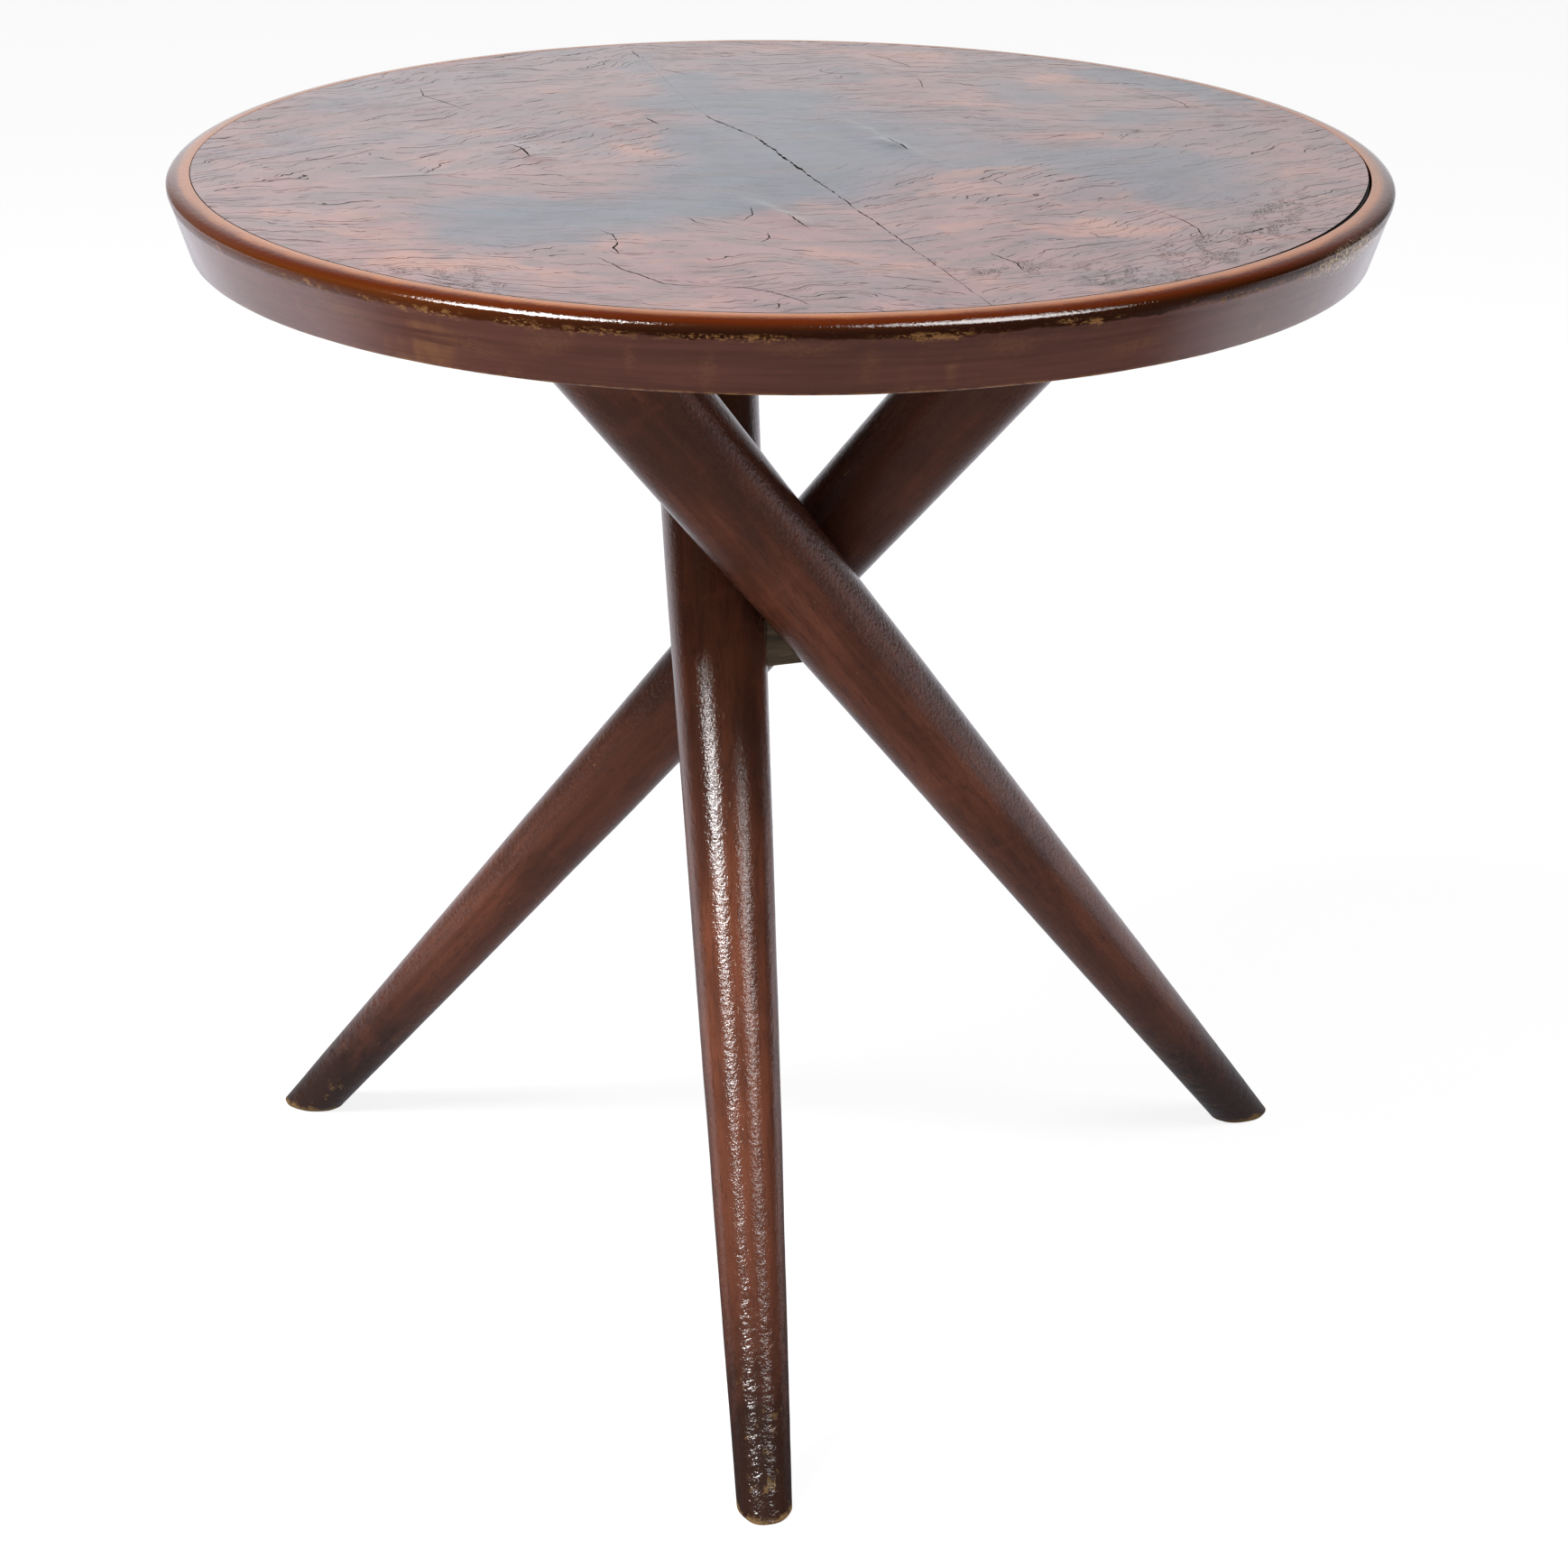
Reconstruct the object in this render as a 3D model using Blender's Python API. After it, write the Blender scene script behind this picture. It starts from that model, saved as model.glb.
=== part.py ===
"""Tripod side table: three crossed tapered legs under a round top with a quartered veneer.

Metres, +Z up. The origin is on the floor, under the middle of the top.
"""
from math import acos, asin, atan2, ceil, cos, pi, radians, sin, sqrt

import bmesh
import bpy
from mathutils import Matrix, Vector

# Gap left at every glued or resting face
GLUE_LINE = 0.0003
# How far a cutter runs past what it cuts
OVERRUN = 0.004

# The whole table
TABLE_HEIGHT = 0.580
TOP_RADIUS = 0.300

# Rim, seen in section
RIM_DEPTH = 0.0368
RIM_LIP_WIDTH = 0.0125
RIM_ROUND_WIDTH = 0.0060
RIM_ROUND_HEIGHT = 0.0045
RIM_ARRIS_DROP = 0.0092
RIM_ARRIS_INSET = 0.0013
RIM_FOOT_INSET = 0.0106
RIM_FOOT_WIDTH = 0.0210
RIM_EDGE_CHAMFER = 0.0008
RIM_UNDER_SHARES = (0.5, 1.0)
RIM_LENGTHS = 6

# Loose tongues in the joints of the rim
TONGUE_THICKNESS = 0.0040
TONGUE_WIDTH = 0.0120
TONGUE_LENGTH = 0.0240

# Panel that drops into the rim
VENEER_THICKNESS = 0.0010
CORE_THICKNESS = 0.0180
BACKING_THICKNESS = 0.0008

# Point where the four veneers meet, from the middle of the top, along and across their first seam
MATCH_ALONG = 0.0143
MATCH_ACROSS = -0.0039

# Bearer board under the panel, reaching past the circle of the legs' heads
BEARER_MARGIN = 0.0609
BEARER_THICKNESS = 0.0160
BEARER_CHAMFER = 0.0030

# Legs
LEG_NAMES = ("front", "right", "left")
LEG_COUNT = len(LEG_NAMES)
FOOT_CIRCLE_RADIUS = 0.3030
HEAD_CIRCLE_RADIUS = 0.1545
LEG_FOOT_RADIUS = 0.0131
LEG_SHOULDER_RADIUS = 0.0299
LEG_SWELL_SHARE = 0.18
TENON_RADIUS = 0.0125
TENON_ROOT = 0.0200

# Wedge driven into the top of each tenon
WEDGE_THICKNESS = 0.0030
WEDGE_TIP_THICKNESS = 0.0012
WEDGE_DEPTH = 0.0120

# Dowels where the legs touch
DOWEL_RADIUS = 0.0050
DOWEL_LENGTH = 0.0300
DOWEL_CHAMFER = 0.0010
DOWEL_HOLE_SPARE = 0.0010

# Block between the legs
HUB_DROP = 0.0380
HUB_RISE = 0.0220
HUB_END_RADIUS = 0.0260
HUB_END_FLAT = 0.0155
HUB_NECK_RADIUS = 0.0145
HUB_NECK_FLAT = 0.0120

# Screws through the bearer
SCREW_LENGTH = 0.0280
SCREW_SHANK_RADIUS = 0.00225
SCREW_HEAD_RADIUS = 0.0045
SCREW_TIP_RADIUS = 0.0006
SCREW_TIP_LENGTH = 0.0050
SCREW_INNER_RING = 0.0700
SCREW_EDGE_DISTANCE = 0.0300

# Directions, anticlockwise from +X seen from above
FRONT_FOOT_ANGLE = radians(-75.0)
MATCH_ANGLE = radians(123.5)
RIM_JOINT_ANGLE = radians(-81.5)

# Fineness of the round forms
TURN_STEPS = 120
ROUND_STEPS = 4
LEG_SIDES = 40
LEG_RINGS = 16
DOWEL_SIDES = 20
SCREW_SIDES = 14
HUB_SIDES = 36
SMOOTH_ANGLE = radians(35.0)

# How often the crossing of the legs is worked out again
SETTING_ROUNDS = 12

# Heights that follow from the panel's layers
CORE_TOP = TABLE_HEIGHT - VENEER_THICKNESS - GLUE_LINE
CORE_BOTTOM = CORE_TOP - CORE_THICKNESS
BACKING_TOP = CORE_BOTTOM - GLUE_LINE
BACKING_BOTTOM = BACKING_TOP - BACKING_THICKNESS
BEARER_TOP = BACKING_BOTTOM - GLUE_LINE
BEARER_BOTTOM = BEARER_TOP - BEARER_THICKNESS
SHOULDER_HEIGHT = BEARER_BOTTOM - GLUE_LINE
RIM_BOTTOM = TABLE_HEIGHT - RIM_DEPTH
REBATE_HEIGHT = BACKING_BOTTOM - GLUE_LINE

# Radii that follow from the rim
RIM_MOUTH_RADIUS = TOP_RADIUS - RIM_LIP_WIDTH
RIM_FOOT_RADIUS = TOP_RADIUS - RIM_FOOT_INSET
RIM_BORE_RADIUS = RIM_FOOT_RADIUS - RIM_FOOT_WIDTH
PANEL_RADIUS = RIM_MOUTH_RADIUS - GLUE_LINE

# Radii that follow from the legs' heads
BEARER_RADIUS = HEAD_CIRCLE_RADIUS + BEARER_MARGIN
SCREW_RINGS = (SCREW_INNER_RING, BEARER_RADIUS - SCREW_EDGE_DISTANCE)


def leg_radius(share):
    """Radius of a leg at a share of its length, from the floor to the shoulder."""
    taper = LEG_SHOULDER_RADIUS - LEG_FOOT_RADIUS
    return LEG_FOOT_RADIUS + taper * share * (1 + LEG_SWELL_SHARE * (1 - share))


LEG_TURN = 2 * pi / LEG_COUNT


def set_out_legs():
    """Crossing height, crossing radius and lean of straight legs that just touch.

    Each leg runs from the foot circle to the head circle. How close it passes to the middle
    depends on how thick it is there, so the crossing is worked out again until it settles.
    """
    radius = 0
    for _ in range(SETTING_ROUNDS):
        foot_travel = sqrt(FOOT_CIRCLE_RADIUS ** 2 - radius ** 2)
        head_travel = sqrt(HEAD_CIRCLE_RADIUS ** 2 - radius ** 2)
        share = foot_travel / (foot_travel + head_travel)
        lean = (foot_travel + head_travel) / SHOULDER_HEIGHT
        touching = 2 * leg_radius(share) + GLUE_LINE
        tilt_stretch = sqrt(1 + (lean * cos(LEG_TURN / 2)) ** 2)
        radius = touching / (2 * sin(LEG_TURN / 2)) * tilt_stretch
    return share * SHOULDER_HEIGHT, radius, lean


CROSSING_HEIGHT, CROSSING_RADIUS, LEAN = set_out_legs()
FOOT_LEAD_ANGLE = atan2(LEAN * CROSSING_HEIGHT, CROSSING_RADIUS)
LEG_STRETCH = sqrt(1 + LEAN ** 2)
LEG_LENGTH = SHOULDER_HEIGHT * LEG_STRETCH
TOUCH_RISE = (LEAN * CROSSING_RADIUS * sin(LEG_TURN)
              / (2 + LEAN ** 2 * (1 + cos(LEG_TURN))))


def clear_scene():
    """Take away whatever the scene holds."""
    for item in list(bpy.data.objects):
        bpy.data.objects.remove(item, do_unlink=True)


def wood(name, colour, roughness):
    """A plain material of one colour."""
    material = bpy.data.materials.new(name)
    material.use_nodes = True
    shader = material.node_tree.nodes["Principled BSDF"]
    shader.inputs["Base Color"].default_value = (*colour, 1)
    shader.inputs["Roughness"].default_value = roughness
    shader.inputs["Metallic"].default_value = 0
    material.diffuse_color = (*colour, 1)
    return material


def metal(name, colour, roughness):
    """A plain metal."""
    material = wood(name, colour, roughness)
    material.node_tree.nodes["Principled BSDF"].inputs["Metallic"].default_value = 1
    return material


def make_group(name):
    """An empty that carries a group of pieces."""
    group = bpy.data.objects.new(name, None)
    bpy.context.scene.collection.objects.link(group)
    return group


def make_object(name, bm, material, group, matrix=Matrix.Identity(4)):
    """Turn an edited mesh into a named piece."""
    bmesh.ops.recalc_face_normals(bm, faces=bm.faces)
    mesh = bpy.data.meshes.new(name)
    bm.to_mesh(mesh)
    bm.free()
    mesh.materials.append(material)
    mesh.shade_smooth()
    mesh.set_sharp_from_angle(angle=SMOOTH_ANGLE)
    return place(name, mesh, group, matrix)


def place(name, mesh, group, matrix):
    """Add a piece with this mesh under its group."""
    piece = bpy.data.objects.new(name, mesh)
    bpy.context.scene.collection.objects.link(piece)
    piece.parent = group
    piece.matrix_local = matrix
    return piece


def make_helper(name, bm, matrix=Matrix.Identity(4)):
    """A guide solid that cuts or joins and isn't part of the table."""
    bmesh.ops.recalc_face_normals(bm, faces=bm.faces)
    mesh = bpy.data.meshes.new(name)
    bm.to_mesh(mesh)
    bm.free()
    helper = place(name, mesh, None, matrix)
    helper.hide_render = True
    helper.display_type = 'WIRE'
    return helper


def combine(piece, helper, operation):
    """Cut or join a piece with a helper."""
    modifier = piece.modifiers.new(helper.name, 'BOOLEAN')
    modifier.operation = operation
    modifier.solver = 'EXACT'
    modifier.object = helper


def loft(bm, rings):
    """One closed body through rings of equal length."""
    layers = [[bm.verts.new(point) for point in ring] for ring in rings]
    count = len(layers[0])
    for lower, upper in zip(layers, layers[1:]):
        for i in range(count):
            j = (i + 1) % count
            bm.faces.new((lower[i], lower[j], upper[j], upper[i]))
    bm.faces.new(layers[0][::-1])
    bm.faces.new(layers[-1])


def turned(bm, profile, sides, matrix=Matrix.Identity(4)):
    """One body turned about Z from pairs of radius and height, set by a matrix."""
    angles = [2 * pi * i / sides for i in range(sides)]
    loft(bm, [[matrix @ Vector((r * cos(t), r * sin(t), z)) for t in angles]
              for r, z in profile])


def disc(radius, bottom, top):
    """A round board."""
    bm = bmesh.new()
    turned(bm, ((radius, bottom), (radius, top)), TURN_STEPS)
    return bm


def block(half_sizes):
    """A box about its middle."""
    x, y, z = half_sizes
    corners = ((-x, -y), (x, -y), (x, y), (-x, y))
    bm = bmesh.new()
    loft(bm, [[(*corner, height) for corner in corners] for height in (-z, z)])
    return bm


def saw_level(bm, matrix, height, keep_below):
    """Saw a body off level at a height, in the world's frame, and close the cut."""
    to_local = matrix.inverted()
    point = to_local @ Vector((0, 0, height))
    normal = to_local.to_3x3() @ Vector((0, 0, 1 if keep_below else -1))
    everything = bm.verts[:] + bm.edges[:] + bm.faces[:]
    cut = bmesh.ops.bisect_plane(bm, geom=everything, plane_co=point, plane_no=normal,
                                 clear_outer=True)
    edges = [item for item in cut["geom_cut"] if isinstance(item, bmesh.types.BMEdge)]
    bmesh.ops.contextual_create(bm, geom=edges)


def crossing_angle(index):
    """Direction from the middle to the leg where it passes closest to it."""
    return FRONT_FOOT_ANGLE - FOOT_LEAD_ANGLE + index * LEG_TURN


def leg_point(index, height):
    """Where the axis of a leg is at a height."""
    angle = crossing_angle(index)
    travel = LEAN * (height - CROSSING_HEIGHT)
    return Vector((CROSSING_RADIUS * cos(angle) + travel * sin(angle),
                   CROSSING_RADIUS * sin(angle) - travel * cos(angle),
                   height))


def leg_matrix(index):
    """Frame of a leg: on the floor, Z along the leg, X away from the crossing's middle."""
    angle = crossing_angle(index)
    along = (leg_point(index, SHOULDER_HEIGHT) - leg_point(index, 0)).normalized()
    outward = Vector((cos(angle), sin(angle), 0))
    side = along.cross(outward)
    frame = Matrix((outward, side, along)).transposed().to_4x4()
    frame.translation = leg_point(index, 0)
    return frame


def leg_body(clearance=0):
    """A turned leg in its own frame, longer at both ends than it is sawn to."""
    bm = bmesh.new()
    spare = LEG_SHOULDER_RADIUS * LEAN + OVERRUN
    start = -spare / LEG_LENGTH
    step = (1 - 2 * start) / LEG_RINGS
    shares = [start + step * i for i in range(LEG_RINGS + 1)]
    turned(bm, [(leg_radius(share) + clearance, share * LEG_LENGTH) for share in shares],
           LEG_SIDES)
    return bm


def tenon_body(clearance=0):
    """The round tenon in the frame of its leg."""
    bm = bmesh.new()
    spare = (BEARER_TOP - SHOULDER_HEIGHT) * LEG_STRETCH + TENON_RADIUS * LEAN + OVERRUN
    radius = TENON_RADIUS + clearance
    turned(bm, ((radius, LEG_LENGTH - TENON_ROOT), (radius, LEG_LENGTH + spare)), LEG_SIDES)
    return bm


def wedge_body(half_width, clearance=0):
    """The wedge in the frame of its leg, thick end up, standing past the bearer's top."""
    bm = bmesh.new()
    head = LEG_LENGTH + (BEARER_TOP - SHOULDER_HEIGHT) * LEG_STRETCH
    spare = TENON_RADIUS * LEAN + OVERRUN
    slope = (WEDGE_THICKNESS - WEDGE_TIP_THICKNESS) / WEDGE_DEPTH
    sections = ((head - WEDGE_DEPTH - clearance, WEDGE_TIP_THICKNESS),
                (head + spare, WEDGE_THICKNESS + slope * spare))
    rings = []
    for height, thickness in sections:
        x = thickness / 2 + clearance
        rings.append([(-x, -half_width, height), (x, -half_width, height),
                      (x, half_width, height), (-x, half_width, height)])
    loft(bm, rings)
    return bm


def make_legs(stained, pale, group):
    """Three legs with their tenons and wedges, and the clearance bodies the hub needs."""
    saddles = []
    for index, name in enumerate(LEG_NAMES):
        frame = leg_matrix(index)
        body = leg_body()
        saw_level(body, frame, 0, keep_below=False)
        saw_level(body, frame, SHOULDER_HEIGHT, keep_below=True)
        leg = make_object(f"leg_{name}", body, stained, group, frame)
        tenon = tenon_body()
        saw_level(tenon, frame, BEARER_TOP, keep_below=True)
        combine(leg, make_helper(f"tenon_{name}", tenon, frame), 'UNION')
        kerf = wedge_body(TENON_RADIUS + OVERRUN, GLUE_LINE)
        combine(leg, make_helper(f"kerf_{name}", kerf, frame), 'DIFFERENCE')
        wedge = wedge_body(sqrt(TENON_RADIUS ** 2 - (WEDGE_THICKNESS / 2) ** 2))
        saw_level(wedge, frame, BEARER_TOP, keep_below=True)
        make_object(f"tenon_wedge_{name}", wedge, pale, group, frame)
        saddles.append(make_helper(f"saddle_{name}", leg_body(GLUE_LINE), frame))
    return saddles


def dowel_matrix(index):
    """Frame of the dowel between a leg and the one that it leans on."""
    upper = leg_point(index, CROSSING_HEIGHT + TOUCH_RISE)
    lower = leg_point(index - 1, CROSSING_HEIGHT - TOUCH_RISE)
    frame = (lower - upper).to_track_quat('Z', 'Y').to_matrix().to_4x4()
    frame.translation = (upper + lower) / 2
    return frame


def make_dowels(pale, group):
    """A chamfered dowel at each touch, in a blind hole in both legs."""
    half = DOWEL_LENGTH / 2
    shoulder = half - DOWEL_CHAMFER
    profile = ((DOWEL_RADIUS - DOWEL_CHAMFER, -half), (DOWEL_RADIUS, -shoulder),
               (DOWEL_RADIUS, shoulder), (DOWEL_RADIUS - DOWEL_CHAMFER, half))
    hole_radius = DOWEL_RADIUS + GLUE_LINE
    hole_half = half + DOWEL_HOLE_SPARE
    for index, name in enumerate(LEG_NAMES):
        frame = dowel_matrix(index)
        bm = bmesh.new()
        turned(bm, profile, DOWEL_SIDES)
        make_object(f"crossing_dowel_{name}", bm, pale, group, frame)
        bm = bmesh.new()
        turned(bm, ((hole_radius, -hole_half), (hole_radius, hole_half)), DOWEL_SIDES)
        hole = make_helper(f"dowel_hole_{name}", bm, frame)
        for other in (name, LEG_NAMES[index - 1]):
            combine(bpy.data.objects[f"leg_{other}"], hole, 'DIFFERENCE')


def hub_ring(height, corner_radius, flat_distance, first_flat):
    """A three-sided section with rounded corners."""
    ring = []
    for i in range(HUB_SIDES):
        angle = 2 * pi * i / HUB_SIDES
        from_flat = (angle + LEG_TURN / 2) % LEG_TURN - LEG_TURN / 2
        reach = min(corner_radius, flat_distance / cos(from_flat))
        ring.append((reach * cos(angle + first_flat), reach * sin(angle + first_flat), height))
    return ring


def make_hub(rough, group, saddles):
    """The block that fills the space between the legs, waisted and cut to seat on them."""
    bottom = CROSSING_HEIGHT - HUB_DROP
    nearest = leg_point(0, bottom)
    first_flat = atan2(nearest.y, nearest.x) + LEG_TURN / 2
    rings = []
    for height in (bottom, CROSSING_HEIGHT, CROSSING_HEIGHT + HUB_RISE):
        spread = abs(height - CROSSING_HEIGHT) / HUB_DROP
        corner = HUB_NECK_RADIUS + (HUB_END_RADIUS - HUB_NECK_RADIUS) * spread
        flat = HUB_NECK_FLAT + (HUB_END_FLAT - HUB_NECK_FLAT) * spread
        rings.append(hub_ring(height, corner, flat, first_flat))
    bm = bmesh.new()
    loft(bm, rings)
    hub = make_object("hub_block", bm, rough, group)
    for saddle in saddles:
        combine(hub, saddle, 'DIFFERENCE')


def rim_section():
    """The rim's section as pairs of radius and height, once round."""
    arc = [pi / 2 * i / ROUND_STEPS for i in range(ROUND_STEPS + 1)]
    points = [(RIM_MOUTH_RADIUS, TABLE_HEIGHT)]
    for angle in arc:
        points.append((TOP_RADIUS - RIM_ROUND_WIDTH * (1 - sin(angle)),
                       TABLE_HEIGHT - RIM_ROUND_HEIGHT * (1 - cos(angle))))
    under = RIM_ARRIS_DROP - RIM_ROUND_HEIGHT
    for share in RIM_UNDER_SHARES:
        points.append((TOP_RADIUS - RIM_ARRIS_INSET * share ** 2,
                       TABLE_HEIGHT - RIM_ROUND_HEIGHT - under * share))
    points += [(RIM_FOOT_RADIUS, RIM_BOTTOM + RIM_EDGE_CHAMFER),
               (RIM_FOOT_RADIUS - RIM_EDGE_CHAMFER, RIM_BOTTOM),
               (RIM_BORE_RADIUS + RIM_EDGE_CHAMFER, RIM_BOTTOM),
               (RIM_BORE_RADIUS, RIM_BOTTOM + RIM_EDGE_CHAMFER),
               (RIM_BORE_RADIUS, REBATE_HEIGHT),
               (RIM_MOUTH_RADIUS, REBATE_HEIGHT)]
    return points


def make_rim(stained, pale, group):
    """Curved lengths of solid wood, butted end to end over loose tongues."""
    section = rim_section()
    sweep = 2 * pi / RIM_LENGTHS
    steps = ceil(TURN_STEPS / RIM_LENGTHS)
    half_gap = GLUE_LINE / 2 / RIM_MOUTH_RADIUS
    middle_radius = RIM_FOOT_RADIUS - RIM_FOOT_WIDTH / 2
    middle_height = (RIM_BOTTOM + REBATE_HEIGHT) / 2
    tongue = (TONGUE_WIDTH / 2, TONGUE_LENGTH / 2, TONGUE_THICKNESS / 2)
    mortise = [size + GLUE_LINE for size in tongue]
    lengths = []
    for index in range(RIM_LENGTHS):
        start = RIM_JOINT_ANGLE + index * sweep + half_gap
        span = sweep - 2 * half_gap
        bm = bmesh.new()
        rings = []
        for i in range(steps + 1):
            angle = start + span * i / steps
            rings.append([(r * cos(angle), r * sin(angle), z) for r, z in section])
        loft(bm, rings)
        lengths.append(make_object(f"rim_length_{index + 1}", bm, stained, group))
    for index in range(RIM_LENGTHS):
        turn = Matrix.Rotation(RIM_JOINT_ANGLE + index * sweep, 4, 'Z')
        frame = turn @ Matrix.Translation((middle_radius, 0, middle_height))
        make_object(f"rim_tongue_{index + 1}", block(tongue), pale, group, frame)
        slot = make_helper(f"tongue_slot_{index + 1}", block(mortise), frame)
        combine(lengths[index], slot, 'DIFFERENCE')
        combine(lengths[index - 1], slot, 'DIFFERENCE')


def make_veneers(burl, group):
    """Four matched sheets that meet at a point beside the middle."""
    frame = Matrix.Rotation(MATCH_ANGLE, 4, 'Z')
    half_gap = GLUE_LINE / 2
    steps = TURN_STEPS // 4
    for index, (along, across) in enumerate(((1, 1), (-1, 1), (-1, -1), (1, -1))):
        corner_x = MATCH_ALONG + along * half_gap
        corner_y = MATCH_ACROSS + across * half_gap
        tilt = asin(corner_y / PANEL_RADIUS)
        first = tilt if along > 0 else across * pi - tilt
        last = across * acos(corner_x / PANEL_RADIUS)
        outline = [(corner_x, corner_y)]
        for i in range(steps + 1):
            angle = first + (last - first) * i / steps
            outline.append((PANEL_RADIUS * cos(angle), PANEL_RADIUS * sin(angle)))
        bm = bmesh.new()
        loft(bm, [[(x, y, z) for x, y in outline]
                  for z in (TABLE_HEIGHT - VENEER_THICKNESS, TABLE_HEIGHT)])
        make_object(f"veneer_quarter_{index + 1}", bm, burl, group, frame)


def screw_profile(clearance=0, head_overrun=0):
    """Radius and height of a countersunk screw that points up, from its head."""
    head_depth = SCREW_HEAD_RADIUS - SCREW_SHANK_RADIUS
    profile = [(SCREW_HEAD_RADIUS + clearance, 0),
               (SCREW_SHANK_RADIUS + clearance, head_depth),
               (SCREW_SHANK_RADIUS + clearance, SCREW_LENGTH - SCREW_TIP_LENGTH),
               (SCREW_TIP_RADIUS + clearance, SCREW_LENGTH + clearance)]
    if head_overrun:
        profile.insert(0, (SCREW_HEAD_RADIUS + clearance, -head_overrun))
    return profile


def screw_places():
    """Where each bearer screw's head lies: on rings, between the tops of the legs."""
    leg_top = leg_point(0, SHOULDER_HEIGHT)
    first = atan2(leg_top.y, leg_top.x) + LEG_TURN / 2
    places = []
    for radius in SCREW_RINGS:
        for index in range(LEG_COUNT):
            angle = first + index * LEG_TURN
            spot = (radius * cos(angle), radius * sin(angle), BEARER_BOTTOM)
            places.append(Matrix.Translation(spot))
    return places


def make_panel(boarded, burl, backing, group):
    """Core, face veneer and balancing veneer."""
    core = make_object("top_core", disc(PANEL_RADIUS, CORE_BOTTOM, CORE_TOP), boarded, group)
    liner = make_object("backing_veneer", disc(PANEL_RADIUS, BACKING_BOTTOM, BACKING_TOP),
                        backing, group)
    make_veneers(burl, group)
    return core, liner


def make_bearer(boarded, group):
    """The round board that takes the legs, with an angled socket for each tenon."""
    bm = bmesh.new()
    turned(bm, ((BEARER_RADIUS - BEARER_CHAMFER, BEARER_BOTTOM),
                (BEARER_RADIUS, BEARER_BOTTOM + BEARER_CHAMFER),
                (BEARER_RADIUS, BEARER_TOP)), TURN_STEPS)
    bearer = make_object("bearer_board", bm, boarded, group)
    for index in range(LEG_COUNT):
        socket = make_helper(f"socket_{index + 1}", tenon_body(GLUE_LINE), leg_matrix(index))
        combine(bearer, socket, 'DIFFERENCE')
    return bearer


def make_screws(steel, group, boards):
    """Screws up through the bearer and into the core, with their holes."""
    holes = bmesh.new()
    for index, frame in enumerate(screw_places()):
        bm = bmesh.new()
        turned(bm, screw_profile(), SCREW_SIDES)
        make_object(f"bearer_screw_{index + 1}", bm, steel, group, frame)
        turned(holes, screw_profile(GLUE_LINE, OVERRUN), SCREW_SIDES, frame)
    cutter = make_helper("screw_holes", holes)
    for board in boards:
        combine(board, cutter, 'DIFFERENCE')


def main():
    clear_scene()
    stained = wood("stained_beech", (0.085, 0.030, 0.018), 0.30)
    rim_wood = wood("stained_rim_beech", (0.150, 0.052, 0.022), 0.25)
    pale = wood("pale_beech", (0.480, 0.330, 0.190), 0.60)
    rough = wood("unpolished_block", (0.045, 0.036, 0.022), 0.80)
    burl = wood("burl_walnut", (0.150, 0.060, 0.045), 0.25)
    boarded = wood("softwood_board", (0.420, 0.280, 0.150), 0.70)
    backing = wood("plain_walnut", (0.160, 0.085, 0.050), 0.65)
    steel = metal("screw_steel", (0.350, 0.340, 0.330), 0.45)
    underframe = make_group("underframe")
    table_top = make_group("table_top")
    saddles = make_legs(stained, pale, underframe)
    make_dowels(pale, underframe)
    make_hub(rough, underframe, saddles)
    make_rim(rim_wood, pale, table_top)
    core, liner = make_panel(boarded, burl, backing, table_top)
    bearer = make_bearer(boarded, underframe)
    make_screws(steel, underframe, (bearer, liner, core))


if __name__ == "__main__":
    main()
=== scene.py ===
"""Looks of the tripod side table, worked up round its packed solids.

Metres, +Z up. The table stands on the floor over the origin. Marks on the top are placed as
seen from the front: to the right of MARK_ORIGIN, and beyond it.
"""

from functools import reduce
from math import acos, asin, ceil, cos, pi, radians, sin, sqrt

import bmesh
import bpy
from bpy.props import FloatProperty, FloatVectorProperty, PointerProperty
from bpy.types import Operator, Panel, PropertyGroup
from mathutils import Matrix, Vector
from mathutils.noise import noise as smooth_noise


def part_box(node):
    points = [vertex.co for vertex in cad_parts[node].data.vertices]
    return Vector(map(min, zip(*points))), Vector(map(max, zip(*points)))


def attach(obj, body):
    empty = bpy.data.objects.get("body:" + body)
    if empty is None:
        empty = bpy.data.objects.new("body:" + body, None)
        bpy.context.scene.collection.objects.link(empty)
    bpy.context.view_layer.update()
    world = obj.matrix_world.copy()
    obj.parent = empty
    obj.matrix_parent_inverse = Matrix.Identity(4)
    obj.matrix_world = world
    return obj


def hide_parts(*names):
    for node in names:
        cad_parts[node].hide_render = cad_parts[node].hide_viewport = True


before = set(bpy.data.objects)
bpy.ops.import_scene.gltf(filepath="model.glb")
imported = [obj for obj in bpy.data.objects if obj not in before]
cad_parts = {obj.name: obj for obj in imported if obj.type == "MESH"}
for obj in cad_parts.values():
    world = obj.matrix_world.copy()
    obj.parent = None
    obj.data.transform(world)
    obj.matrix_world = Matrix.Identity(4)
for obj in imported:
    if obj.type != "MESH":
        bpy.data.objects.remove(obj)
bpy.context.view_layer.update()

bl_info = {
    "name": "Tripod Side Table",
    "version": (1, 0, 0),
    "blender": (4, 5, 0),
    "location": "View3D > Sidebar > Side Table",
    "description": "Burl veneer, worn rim, stained legs and studio for a tripod side table",
    "category": "Object",
}

BODY = "root"

# Gap left at every glued or resting face
GLUE_LINE = 0.0003

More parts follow.
